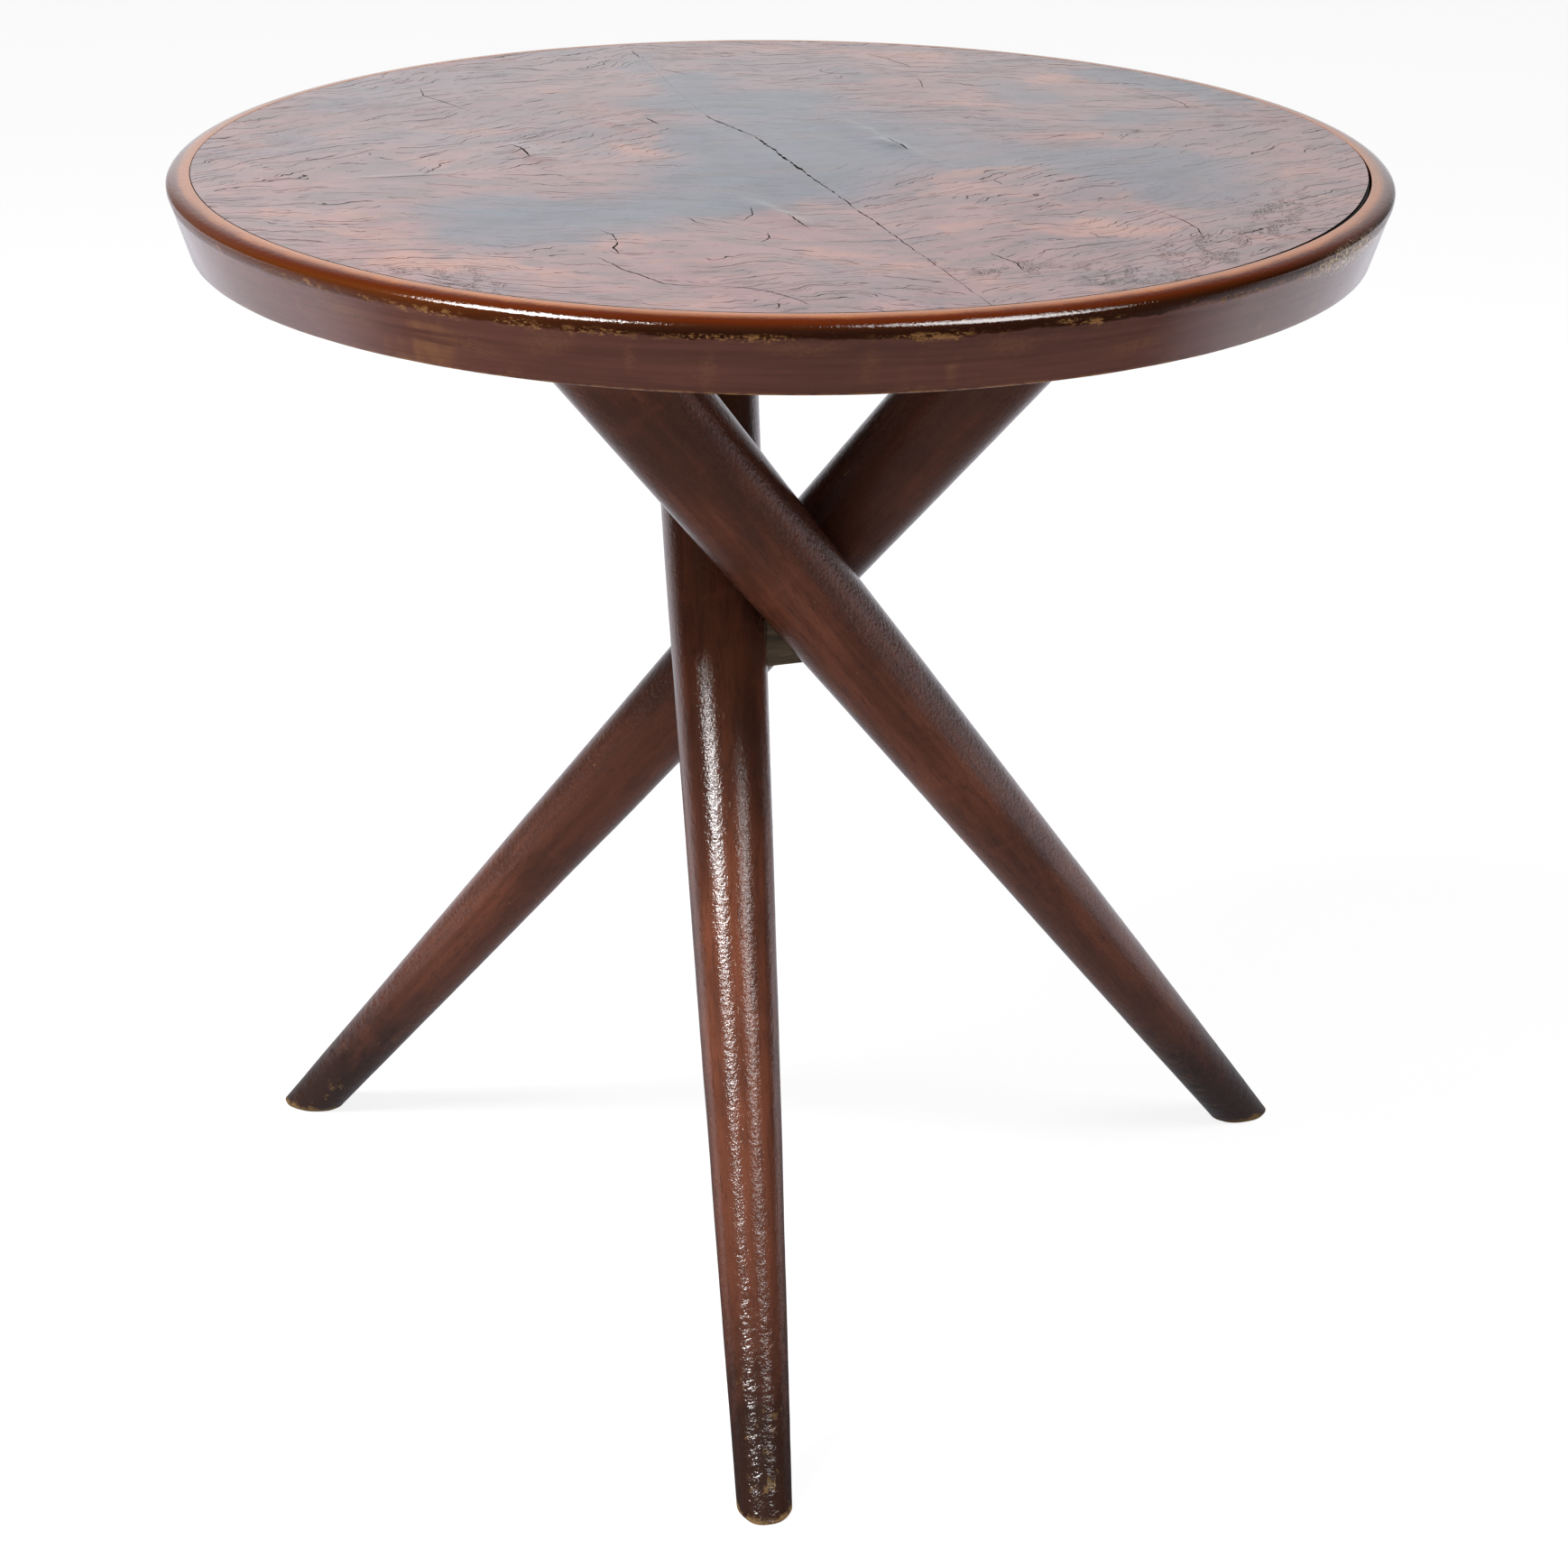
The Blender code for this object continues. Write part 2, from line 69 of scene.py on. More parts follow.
# Heights read from the packed solids
TABLE_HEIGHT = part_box("rim_length_1")[1].z
RIM_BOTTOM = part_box("rim_length_1")[0].z
VENEER_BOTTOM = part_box("veneer_quarter_1")[0].z
REBATE_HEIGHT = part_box("backing_veneer")[0].z - GLUE_LINE
BEARER_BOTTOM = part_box("bearer_board")[0].z
BEARER_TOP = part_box("bearer_board")[1].z
SHOULDER_HEIGHT = BEARER_BOTTOM - GLUE_LINE

LEG_NAMES = ("front", "right", "left")
LEG_TURN = 2 * pi / len(LEG_NAMES)
RIM_LENGTHS = 6
# Faces that meet at a larger angle get a sharp edge
SHARP_ANGLE = radians(38)

# Direction that lies to the right in the photograph, anticlockwise from +X
VIEW_TURN = radians(15.5)


class TopSettings(PropertyGroup):
    """The veneered top."""
    radius: FloatProperty(
        name="Veneer radius", description="Radius of the veneered panel inside the rim",
        default=0.2879, unit='LENGTH')
    match_along: FloatProperty(
        name="Match along", description="Meeting point of the veneers along their first seam",
        default=0.0143, unit='LENGTH')
    match_across: FloatProperty(
        name="Match across", description="Meeting point of the veneers across their first seam",
        default=-0.0039, unit='LENGTH')
    match_angle: FloatProperty(
        name="Seam direction", description="Direction of the first seam, from +X",
        default=radians(123.5), subtype='ANGLE')
    gap_width: FloatProperty(
        name="Shrinkage gap", description="Widest gap between the veneer and the rim",
        default=0.0019, unit='LENGTH')
    crack_depth: FloatProperty(
        name="Crack depth", description="How deep the open cracks go into the veneer",
        default=0.0007, unit='LENGTH')
    burl_colour: FloatVectorProperty(
        name="Burl", description="Red brown of the burl between its clouds",
        default=(0.176, 0.055, 0.057), subtype='COLOR')
    amber_colour: FloatVectorProperty(
        name="Amber", description="Lighter streaks in the burl",
        default=(0.330, 0.108, 0.056), subtype='COLOR')
    cloud_colour: FloatVectorProperty(
        name="Cloud", description="Blue black clouds in the burl",
        default=(0.010, 0.018, 0.035), subtype='COLOR')
    crack_colour: FloatVectorProperty(
        name="Crack", description="Dirt in the cracks of the varnish",
        default=(0.006, 0.004, 0.004), subtype='COLOR')


class RimSettings(PropertyGroup):
    """The solid rim."""
    radius: FloatProperty(
        name="Radius", description="Outer radius of the rim",
        default=0.300, unit='LENGTH')
    lip_width: FloatProperty(
        name="Lip width", description="Width of the rim seen from above",
        default=0.0118, unit='LENGTH')
    foot_inset: FloatProperty(
        name="Foot inset", description="How far the rim's side slopes in towards its lower edge",
        default=0.0101, unit='LENGTH')
    foot_width: FloatProperty(
        name="Foot width", description="Width of the rim's lower edge",
        default=0.0210, unit='LENGTH')
    lip_colour: FloatVectorProperty(
        name="Lip", description="Worn amber varnish on top of the lip",
        default=(0.290, 0.088, 0.019), subtype='COLOR')
    bead_colour: FloatVectorProperty(
        name="Bead", description="Deep amber varnish on the outer face of the bead",
        default=(0.076, 0.011, 0.001), subtype='COLOR')
    side_colour: FloatVectorProperty(
        name="Side", description="Brown stain on the sloping side",
        default=(0.114, 0.043, 0.032), subtype='COLOR')
    worn_colour: FloatVectorProperty(
        name="Worn", description="Bare wood where the varnish is knocked off",
        default=(0.370, 0.180, 0.062), subtype='COLOR')


class LegSettings(PropertyGroup):
    """The three legs."""
    foot_circle: FloatProperty(
        name="Foot circle", description="Radius of the circle that the feet stand on",
        default=0.3030, unit='LENGTH')
    head_circle: FloatProperty(
        name="Head circle", description="Radius of the circle of the legs' heads",
        default=0.1545, unit='LENGTH')
    foot_radius: FloatProperty(
        name="Foot radius", description="Radius of a leg at the floor",
        default=0.0131, unit='LENGTH')
    shoulder_radius: FloatProperty(
        name="Shoulder radius", description="Radius of a leg under the top",
        default=0.0299, unit='LENGTH')
    swell: FloatProperty(
        name="Swell", description="How far the taper swells between its ends, as a share",
        default=0.18)
    tenon_radius: FloatProperty(
        name="Tenon radius", description="Radius of the tenon in the bearer board",
        default=0.0125, unit='LENGTH')
    front_foot_angle: FloatProperty(
        name="Front foot", description="Direction of the front foot, from +X",
        default=radians(-75), subtype='ANGLE')
    stain_colour: FloatVectorProperty(
        name="Stain", description="Warm brown stain on the legs",
        default=(0.182, 0.057, 0.030), subtype='COLOR')
    # Used for the darker grain, for the darkening towards the bottom, and as painted shade high
    # on the legs under the top
    dark_and_shade_colour: FloatVectorProperty(
        name="Dark", description="Darker stain in the grain and at the feet",
        default=(0.058, 0.022, 0.015), subtype='COLOR')
    worn_colour: FloatVectorProperty(
        name="Worn", description="Bare wood at the edge of the feet",
        default=(0.230, 0.140, 0.060), subtype='COLOR')


class StageSettings(PropertyGroup):
    """Camera, lamps and floor."""
    lens: FloatProperty(
        name="Lens", description="Focal length in millimetres on a 36 mm sensor",
        default=106.52)
    distance: FloatProperty(
        name="Distance", description="Camera's distance from the table's middle line",
        default=2.2387, unit='LENGTH')
    height: FloatProperty(
        name="Height", description="Camera's height over the floor",
        default=1.1001, unit='LENGTH')
    pitch: FloatProperty(
        name="Pitch", description="How far the camera looks down",
        default=0.36176, subtype='ANGLE')
    pan: FloatProperty(
        name="Pan", description="How far the camera looks to the side",
        default=0.00185, subtype='ANGLE')
    roll: FloatProperty(
        name="Roll", description="How far the camera is tilted sideways",
        default=-0.00859, subtype='ANGLE')
    lamp_power: FloatProperty(
        name="Lamp power", description="Power of each softbox in watts",
        default=40.0)
    sky_strength: FloatProperty(
        name="Room light", description="Strength of the light that comes from all round",
        default=0.25)
    floor_colour: FloatVectorProperty(
        name="Floor", description="Pale floor",
        default=(0.80, 0.80, 0.80), subtype='COLOR')


# Material nodes


def feed(socket, value):
    """Link a socket, or set it to a plain value."""
    if isinstance(value, bpy.types.NodeSocket):
        socket.id_data.links.new(value, socket)
    else:
        socket.default_value = value


def add_node(kind, inputs, tree=None, **settings):
    """Add a node with its settings and inputs, in the tree of the nodes that feed it."""
    tree = tree or next(value.id_data for value in inputs.values()
                        if isinstance(value, bpy.types.NodeSocket))
    node = tree.nodes.new(kind)
    for key, value in settings.items():
        setattr(node, key, value)
    for key, value in inputs.items():
        feed(node.inputs[key], value)
    return node


def math(operation, a, b=0.0, c=0.0, clamp=False):
    return add_node('ShaderNodeMath', {0: a, 1: b, 2: c}, operation=operation,
                    use_clamp=clamp).outputs[0]


def times(a, b):
    return math('MULTIPLY', a, b)


def larger(a, b):
    return math('MAXIMUM', a, b)


def strongest(values):
    """The largest of several values at each place."""
    return reduce(larger, values)


def plus(base, value, factor):
    """A base with a value added to it that is first multiplied by a factor."""
    return math('MULTIPLY_ADD', value, factor, base)


def less(whole, value):
    """A whole with a value taken off, but never under nought."""
    return math('SUBTRACT', whole, value, clamp=True)


def shaken(base, value, reach):
    """A base shifted to and fro by noise that lies round a half."""
    return plus(base, math('SUBTRACT', value, 0.5), reach)


def vector(operation, a, b=(0, 0, 0)):
    node = add_node('ShaderNodeVectorMath', {0: a, 1: b}, operation=operation)
    return node.outputs["Value" if operation in {'LENGTH', 'DOT_PRODUCT'} else "Vector"]


def scaled(where, factors):
    """Coordinates stretched by a factor on each axis."""
    return vector('MULTIPLY', where, factors)


def shifted(where, shift, reach):
    """Coordinates pushed about by a colour noise, by a reach on each axis."""
    return vector('ADD', where, scaled(shift, reach))


def turned(where, angle, shift=(0, 0, 0)):
    """Coordinates in a frame turned about +Z, then shifted."""
    node = add_node('ShaderNodeVectorRotate', {"Vector": where, "Angle": -angle},
                    rotation_type='Z_AXIS')
    return vector('SUBTRACT', node.outputs["Vector"], shift)


def split(where):
    return add_node('ShaderNodeSeparateXYZ', {"Vector": where}).outputs


def join(x, y, z):
    return add_node('ShaderNodeCombineXYZ', {"X": x, "Y": y, "Z": z}).outputs["Vector"]


def framed(where, matrix):
    """Coordinates in the frame that a matrix gives."""
    moved = vector('SUBTRACT', where, tuple(matrix.translation))
    return join(*(vector('DOT_PRODUCT', moved, tuple(matrix.col[axis].xyz))
                  for axis in range(3)))


def noise(where, scale, detail, roughness, colour=False):
    """Noise at one scale, or at a scale for each axis."""
    if isinstance(scale, tuple):
        where = scaled(where, scale)
        scale = 1
    node = add_node('ShaderNodeTexNoise', {
        "Vector": where, "Scale": scale, "Detail": detail, "Roughness": roughness})
    return node.outputs["Color" if colour else "Fac"]


def sway(where, scale, detail, roughness):
    """Colour noise that lies round nought."""
    return vector('SUBTRACT', noise(where, scale, detail, roughness, colour=True),
                  (0.5, 0.5, 0.5))


def span(value, low, high, to_low=0.0, to_high=1.0):
    """Map a value smoothly from one range to another, and hold it at the ends."""
    return add_node('ShaderNodeMapRange', {
        "Value": value, "From Min": low, "From Max": high, "To Min": to_low,
        "To Max": to_high}, interpolation_type='SMOOTHSTEP').outputs["Result"]


def patch(where, x, y, half_length, half_width, turn=0, edge=0.5):
    """One inside an ellipse turned by degrees, fading to nought at its edge."""
    here = turned(vector('SUBTRACT', where, (x, y, 0)), radians(turn))
    reach = vector('LENGTH', scaled(here, (1 / half_length, 1 / half_width, 0)))
    return span(reach, 1 + edge, 1 - edge)


def mix(share, first, second):
    """Mix two colours."""
    node = add_node('ShaderNodeMix', {}, share.id_data, data_type='RGBA')
    feed(node.inputs["Factor"], share)
    for socket, value in ((node.inputs[6], first), (node.inputs[7], second)):
        feed(socket, value if isinstance(value, bpy.types.NodeSocket) else (*value, 1))
    return node.outputs[2]


def shade(colour, factor):
    """A colour, or another row of numbers, multiplied by a factor."""
    return tuple(value * factor for value in colour)


def choose(share, first, second):
    """Mix two shaders."""
    return add_node('ShaderNodeMixShader', {0: share, 1: first, 2: second}).outputs[0]


def bump(height, distance, strength):
    return add_node('ShaderNodeBump', {
        "Height": height, "Distance": distance, "Strength": strength}).outputs["Normal"]


def start_material(name):
    """A new material, and the place of each point in the frame of its piece."""
    material = bpy.data.materials.new(name)
    material.use_nodes = True
    place = add_node('ShaderNodeTexCoord', {}, material.node_tree).outputs["Object"]
    return material, place


def end_material(material, colour, roughness, normal=None, coat=0.0, coat_roughness=0.1,
                 coat_ior=1.5, specular=0.5, metallic=0.0):
    """Feed a material's shader, and return the material."""
    inputs = {"Base Color": colour, "Roughness": roughness, "Metallic": metallic,
              "Specular IOR Level": specular, "Coat Weight": coat,
              "Coat Roughness": coat_roughness, "Coat IOR": coat_ior}
    if normal is not None:
        inputs.update({"Normal": normal, "Coat Normal": normal})
    shader = material.node_tree.nodes["Principled BSDF"]
    for key, value in inputs.items():
        feed(shader.inputs[key], value)
    return material


# Mesh building


def closed_mesh(name, points, faces):
    """A mesh whose faces all point out."""
    mesh = bpy.data.meshes.new(name)
    mesh.from_pydata(points, [], faces)
    bm = bmesh.new()
    bm.from_mesh(mesh)
    bmesh.ops.recalc_face_normals(bm, faces=bm.faces)
    bm.to_mesh(mesh)
    bm.free()
    return mesh


def add_object(name, data):
    """A new object in the scene."""
    thing = bpy.data.objects.new(name, data)
    bpy.context.scene.collection.objects.link(thing)
    return thing


def add_piece(name, points, faces, material, node_names):
    """Make a mesh piece that stands for its packed solids."""
    mesh = closed_mesh(name, points, faces)
    mesh.materials.append(material)
    piece = add_object(name, mesh)
    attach(piece, BODY)
    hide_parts(*node_names)
    smooth(piece)
    return piece


def smooth(piece):
    piece.data.shade_smooth()
    piece.data.set_sharp_from_angle(angle=SHARP_ANGLE)


def wrap_rows(rows):
    """Points and faces of a closed body through rows that each run once round."""
    count = len(rows[0])
    points = [point for row in rows for point in row]
    faces = []
    for base in range(0, count * (len(rows) - 1), count):
        for i in range(count):
            j = (i + 1) % count
            faces.append((base + i, base + j, base + count + j, base + count + i))
    faces.append(tuple(range(count))[::-1])
    faces.append(tuple(range(count * (len(rows) - 1), count * len(rows))))
    return points, faces


def carve(piece, bodies, wall_slot=0):
    """Cut closed bodies, given as points and faces, and give the cuts a material slot."""
    points, faces = [], []
    for body_points, body_faces in bodies:
        base = len(points)
        points += body_points
        faces += [tuple(base + i for i in face) for face in body_faces]
    mesh = closed_mesh("cutter", points, faces)
    for material in piece.data.materials:
        mesh.materials.append(material)
    for face in mesh.polygons:
        face.material_index = wall_slot
    cutter = add_object("cutter", mesh)
    modifier = piece.modifiers.new("carve", 'BOOLEAN')
    modifier.operation = 'DIFFERENCE'
    modifier.solver = 'EXACT'
    modifier.use_self = True
    modifier.object = cutter
    graph = bpy.context.evaluated_depsgraph_get()
    carved = bpy.data.meshes.new_from_object(piece.evaluated_get(graph))
    piece.modifiers.clear()
    piece.data = carved
    bpy.data.objects.remove(cutter)
    smooth(piece)


def grown_solid(node_name, clearance):
    """A packed solid's points and faces, grown on every side by a clearance."""
    bm = bmesh.new()
    bm.from_mesh(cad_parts[node_name].data)
    bmesh.ops.remove_doubles(bm, verts=bm.verts, dist=clearance / 10)
    bm.normal_update()
    moved = [vert.co + vert.normal * vert.calc_shell_factor() * clearance for vert in bm.verts]
    faces = [tuple(vert.index for vert in face.verts) for face in bm.faces]
    bm.free()
    return moved, faces


def ripple(place, frequency, seed):
    """Smooth noise between minus one and one at a place."""
    return smooth_noise(Vector(place) * frequency + Vector((seed, seed / 2, 0)))


def ease(value, low, high):
    """Nought below low, one above high, smooth between."""
    share = min(max((value - low) / (high - low), 0), 1)
    return share * share * (3 - 2 * share)


# Veneered top

# Patches along each side of a sheet, and half the gap between two sheets where they are shut
VENEER_STEPS = 120
VENEER_GAP = 0.00004
# Unevenness of the sheets and of their edge at the rim: height or reach, and frequency
VENEER_RIPPLE = (0.00004, 90)
EDGE_RIPPLE = (0.0001, 9)

# Where the shrinkage gap between veneer and rim starts, is widest and ends, seen from the front
GAP_START = radians(-62)
GAP_WIDEST = radians(-14)
GAP_END = radians(14)

# How far each seam of the veneer stands open on each side, by place along it
SEAM_OPENINGS = ((0.094, 0.00002), (0.088, 0.00030), (0.030, 0.00032), (0.012, 0.00055),
                 (-0.045, 0.00045), (-0.070, 0.00024), (-0.130, 0.00022), (-0.290, 0.00008))
# The seam's bend behind the middle: where it starts, is full, starts back and ends
SEAM_BEND = 0.0090
SEAM_BEND_PLACES = (0.030, 0.095, 0.110, 0.270)
# Wander of the seam along its whole length: reach, frequency and seed
SEAM_RIPPLES = ((0.0006, 260, 3), (0.0009, 70, 5))
# How far from the seam the sheets follow its bend, and its opening
SEAM_BEND_REACH = 0.045
SEAM_OPENING_REACH = 0.004

# Blisters: start and end on the top, height, reach to the side, and side that falls off fast
BLISTERS = (
    ((0.034, 0.098), (0.076, 0.010), 0.0005, 0.015, -1),
    ((0.050, 0.058), (0.062, 0.040), 0.0007, 0.007, -1),
    ((-0.134, 0.038), (-0.118, 0.002), 0.0010, 0.011, 1),
    ((-0.010, -0.078), (0.014, -0.122), 0.0008, 0.010, -1),
    ((-0.090, 0.098), (-0.072, 0.078), 0.0005, 0.008, -1),
    ((-0.205, -0.035), (-0.150, -0.020), 0.00016, 0.006, -1),
)

# Open cracks: width at the widest, then the points that it runs through
CRACKS = (
    (0.0009, (0.054, 0.060), (0.061, 0.042), (0.064, 0.033)),
    (0.0008, (0.057, 0.0445), (0.062, 0.042), (0.067, 0.0435)),
    (0.0010, (-0.068, 0.102), (-0.064, 0.094), (-0.061, 0.087)),
    (0.0009, (-0.134, 0.038), (-0.128, 0.029), (-0.125, 0.020), (-0.122, 0.010)),
    (0.0007, (0.004, -0.102), (0.009, -0.116), (0.0145, -0.129)),
    (0.0006, (-0.013, -0.089), (-0.012, -0.102), (-0.017, -0.116)),
    (0.0006, (-0.043, -0.108), (-0.038, -0.118), (-0.033, -0.123)),
    (0.0006, (-0.083, -0.134), (-0.077, -0.142), (-0.073, -0.157)),
    (0.0011, (-0.073, -0.157), (-0.075, -0.168), (-0.072, -0.178)),
    (0.0009, (-0.082, -0.185), (-0.075, -0.196), (-0.069, -0.208), (-0.061, -0.217),
     (-0.050, -0.232), (-0.038, -0.235), (-0.026, -0.235)),
    (0.0008, (-0.026, -0.235), (-0.013, -0.238), (-0.003, -0.244), (0.008, -0.256),
     (0.015, -0.267)),
    (0.0007, (-0.005, -0.137), (-0.004, -0.146), (-0.008, -0.156)),
    (0.0007, (-0.204, -0.037), (-0.180, -0.031), (-0.158, -0.026)),
    (0.0005, (-0.096, -0.004), (-0.075, 0.002), (-0.054, 0.006)),
    (0.0005, (0.023, 0.225), (0.021, 0.219), (0.027, 0.214), (0.035, 0.213), (0.044, 0.217)),
    (0.0006, (0.048, 0.263), (0.058, 0.252), (0.067, 0.238), (0.071, 0.229)),
    (0.0004, (0.073, 0.204), (0.075, 0.190), (0.075, 0.177)),
    (0.0006, (0.188, 0.173), (0.200, 0.162), (0.210, 0.146), (0.211, 0.135)),
    (0.0006, (-0.081, 0.267), (-0.077, 0.254), (-0.075, 0.248)),
    (0.0006, (-0.188, 0.169), (-0.185, 0.150), (-0.173, 0.135), (-0.165, 0.123),
     (-0.160, 0.117)),
    (0.0005, (-0.065, 0.223), (-0.054, 0.212), (-0.048, 0.206)),
    (0.0006, (0.179, -0.088), (0.190, -0.108), (0.195, -0.123), (0.196, -0.142)),
    (0.0005, (0.144, -0.131), (0.148, -0.140), (0.154, -0.142)),
    (0.0008, (0.096, -0.171), (0.102, -0.181), (0.108, -0.190), (0.110, -0.204)),
    (0.0006, (0.104, -0.027), (0.108, -0.038)),
    (0.0008, (0.000, -0.263), (0.0012, -0.269), (-0.001, -0.273)),
    (0.0005, (0.169, 0.078), (0.190, 0.080), (0.215, 0.085)),
    (0.0006, (-0.235, 0.000), (-0.217, 0.006), (-0.206, 0.018), (-0.199, 0.029)),
    (0.0005, (-0.262, -0.006), (-0.240, -0.004), (-0.224, 0.006), (-0.214, 0.020)),
    (0.0005, (-0.189, -0.004), (-0.176, 0.007), (-0.168, 0.022)),
    (0.0006, (0.017, -0.186), (0.030, -0.187), (0.038, -0.196)),
    (0.0005, (0.043, -0.238), (0.055, -0.236), (0.060, -0.229)),
    (0.0005, (-0.065, -0.262), (-0.055, -0.268), (-0.045, -0.269)),
    (0.0009, (-0.160, -0.218), (-0.150, -0.226), (-0.138, -0.231)),
    (0.0007, (-0.158, -0.226), (-0.146, -0.234), (-0.135, -0.238)),
)
CRACK_STEP = 0.0025
CRACK_SPREAD = 1.05
CRACK_WANDER = 0.0007
# Least half width of a crack, and how far its cutter stands over the top
CRACK_LEAST = 0.00003
CRACK_OVERRUN = 0.004
# How far a crack keeps from the second seam and from the first
CRACK_MARGINS = (0.004, 0.002)

# Point, right of and beyond the middle, that the marks on the top are measured from
MARK_ORIGIN = (-0.0010, -0.0082)


def place_of_mark(x, y):
    """A mark's place in the table's frame."""
    x += MARK_ORIGIN[0]
    y += MARK_ORIGIN[1]
    return (x * cos(VIEW_TURN) - y * sin(VIEW_TURN), x * sin(VIEW_TURN) + y * cos(VIEW_TURN))


def seam_bend(along):
    """How far the first seam has wandered off its straight line."""
    start, full, back, end = SEAM_BEND_PLACES
    bend = SEAM_BEND * ease(along, start, full) * (1 - ease(along, back, end))
    for reach, frequency, seed in SEAM_RIPPLES:
        bend += reach * ripple((along, 0, 0), frequency, seed)
    return bend


def seam_opening(along):
    """Half the width of the open first seam."""
    width = SEAM_OPENINGS[-1][1]
    for (far, far_width), (near, near_width) in zip(SEAM_OPENINGS, SEAM_OPENINGS[1:]):
        if near <= along <= far:
            share = (along - near) / (far - near)
            width = near_width + (far_width - near_width) * share
    if along > SEAM_OPENINGS[0][0]:
        width = 0
    return width * max(0.1, 1 + 1.9 * ripple((along, 0, 0), 420, 9))


def panel_radius(top, angle):
    """Radius of the veneer's edge in a direction, drawn in where it has shrunk."""
    seen = (angle - VIEW_TURN + pi) % (2 * pi) - pi
    shrunk = ease(seen, GAP_START, GAP_WIDEST) * (1 - ease(seen, GAP_WIDEST, GAP_END))
    reach, frequency = EDGE_RIPPLE
    uneven = reach * ripple((cos(angle), sin(angle), 0), frequency, 2)
    return top.radius - top.gap_width * shrunk ** 1.5 + uneven


def blister_height(x, y):
    """Height of the lifted veneer at a place seen from the front."""
    height = 0
    for (x0, y0), (x1, y1), rise, reach, steep in BLISTERS:
        run_x, run_y = x1 - x0, y1 - y0
        length = sqrt(run_x ** 2 + run_y ** 2)
        share = ((x - x0) * run_x + (y - y0) * run_y) / length ** 2
        side = ((x - x0) * run_y - (y - y0) * run_x) / length
        if -0.6 < share < 1.6:
            ends = ease(share, -0.35, 0.35) * (1 - ease(share, 0.65, 1.35))
            width = reach * (0.35 if side * steep > 0 else 1.4)
            height += rise * ends * (1 - ease(abs(side), 0, width))
    return height


def veneer_quarter(top, along_sign, across_sign):
    """Points and faces of one sheet, its top surface a patch of four sides."""
    turn = Matrix.Rotation(top.match_angle, 4, 'Z')
    corner_u = top.match_along
    corner_v = top.match_across
    steps = VENEER_STEPS
    tilt = asin(corner_v / top.radius)
    first = tilt if along_sign > 0 else across_sign * pi - tilt
    last = across_sign * acos(corner_u / top.radius)
    end_u = top.radius * cos(first)
    end_v = top.radius * sin(last)

    def edge_point(share):
        angle = first + (last - first) * share
        radius = panel_radius(top, angle + top.match_angle)
        return Vector((radius * cos(angle), radius * sin(angle)))

    seam_one = [Vector((corner_u + (end_u - corner_u) * i / steps, corner_v))
                for i in range(steps + 1)]
    seam_two = [Vector((corner_u, corner_v + (end_v - corner_v) * i / steps))
                for i in range(steps + 1)]
    arc_one = [edge_point(i / steps / 2) for i in range(steps + 1)]
    arc_two = [edge_point(1 - i / steps / 2) for i in range(steps + 1)]
    corners = (seam_one[0], arc_one[0], arc_two[0], arc_one[-1])

    def blend(i, j):
        """Blend the four sides at step i along the first seam and j along the second."""
        s, t = i / steps, j / steps
        flat = ((1 - s) * (1 - t) * corners[0] + s * (1 - t) * corners[1]
                + (1 - s) * t * corners[2] + s * t * corners[3])
        return ((1 - t) * seam_one[i] + t * arc_two[i] + (1 - s) * seam_two[j]
                + s * arc_one[j] - flat)

    rise, frequency = VENEER_RIPPLE
    points = []
    for i in range(steps + 1):
        for j in range(steps + 1):
            u, v = blend(i, j)
            bend_share = 1 - ease(abs(v - corner_v), 0, SEAM_BEND_REACH)
            opening_share = 1 - ease(abs(v - corner_v), 0, SEAM_OPENING_REACH)
            along = u - corner_u
            v += seam_bend(along) * bend_share
            v += across_sign * (VENEER_GAP + seam_opening(along) * opening_share)
            u += along_sign * VENEER_GAP * (1 - ease(abs(along), 0, SEAM_OPENING_REACH))
            place = turn @ Vector((u, v, TABLE_HEIGHT))
            seen = Matrix.Rotation(-VIEW_TURN, 4, 'Z') @ place
            place.z += blister_height(seen.x - MARK_ORIGIN[0], seen.y - MARK_ORIGIN[1])
            place.z += rise * ripple(place, frequency, 1)
            points.append(place)
    count = steps + 1
    faces = [(i * count + j, (i + 1) * count + j, (i + 1) * count + j + 1, i * count + j + 1)
             for i in range(steps) for j in range(steps)]
    loop = [i * count for i in range(steps)]
    loop += [steps * count + j for j in range(steps)]
    loop += [i * count + steps for i in range(steps, 0, -1)]
    loop += [j for j in range(steps, 0, -1)]
    base = len(points)
    points += [Vector((points[i].x, points[i].y, VENEER_BOTTOM)) for i in loop]
    for k, upper in enumerate(loop):
        after = (k + 1) % len(loop)
        faces.append((upper, loop[after], base + after, base + k))
    faces.append(tuple(range(base, base + len(loop))))
    return points, faces


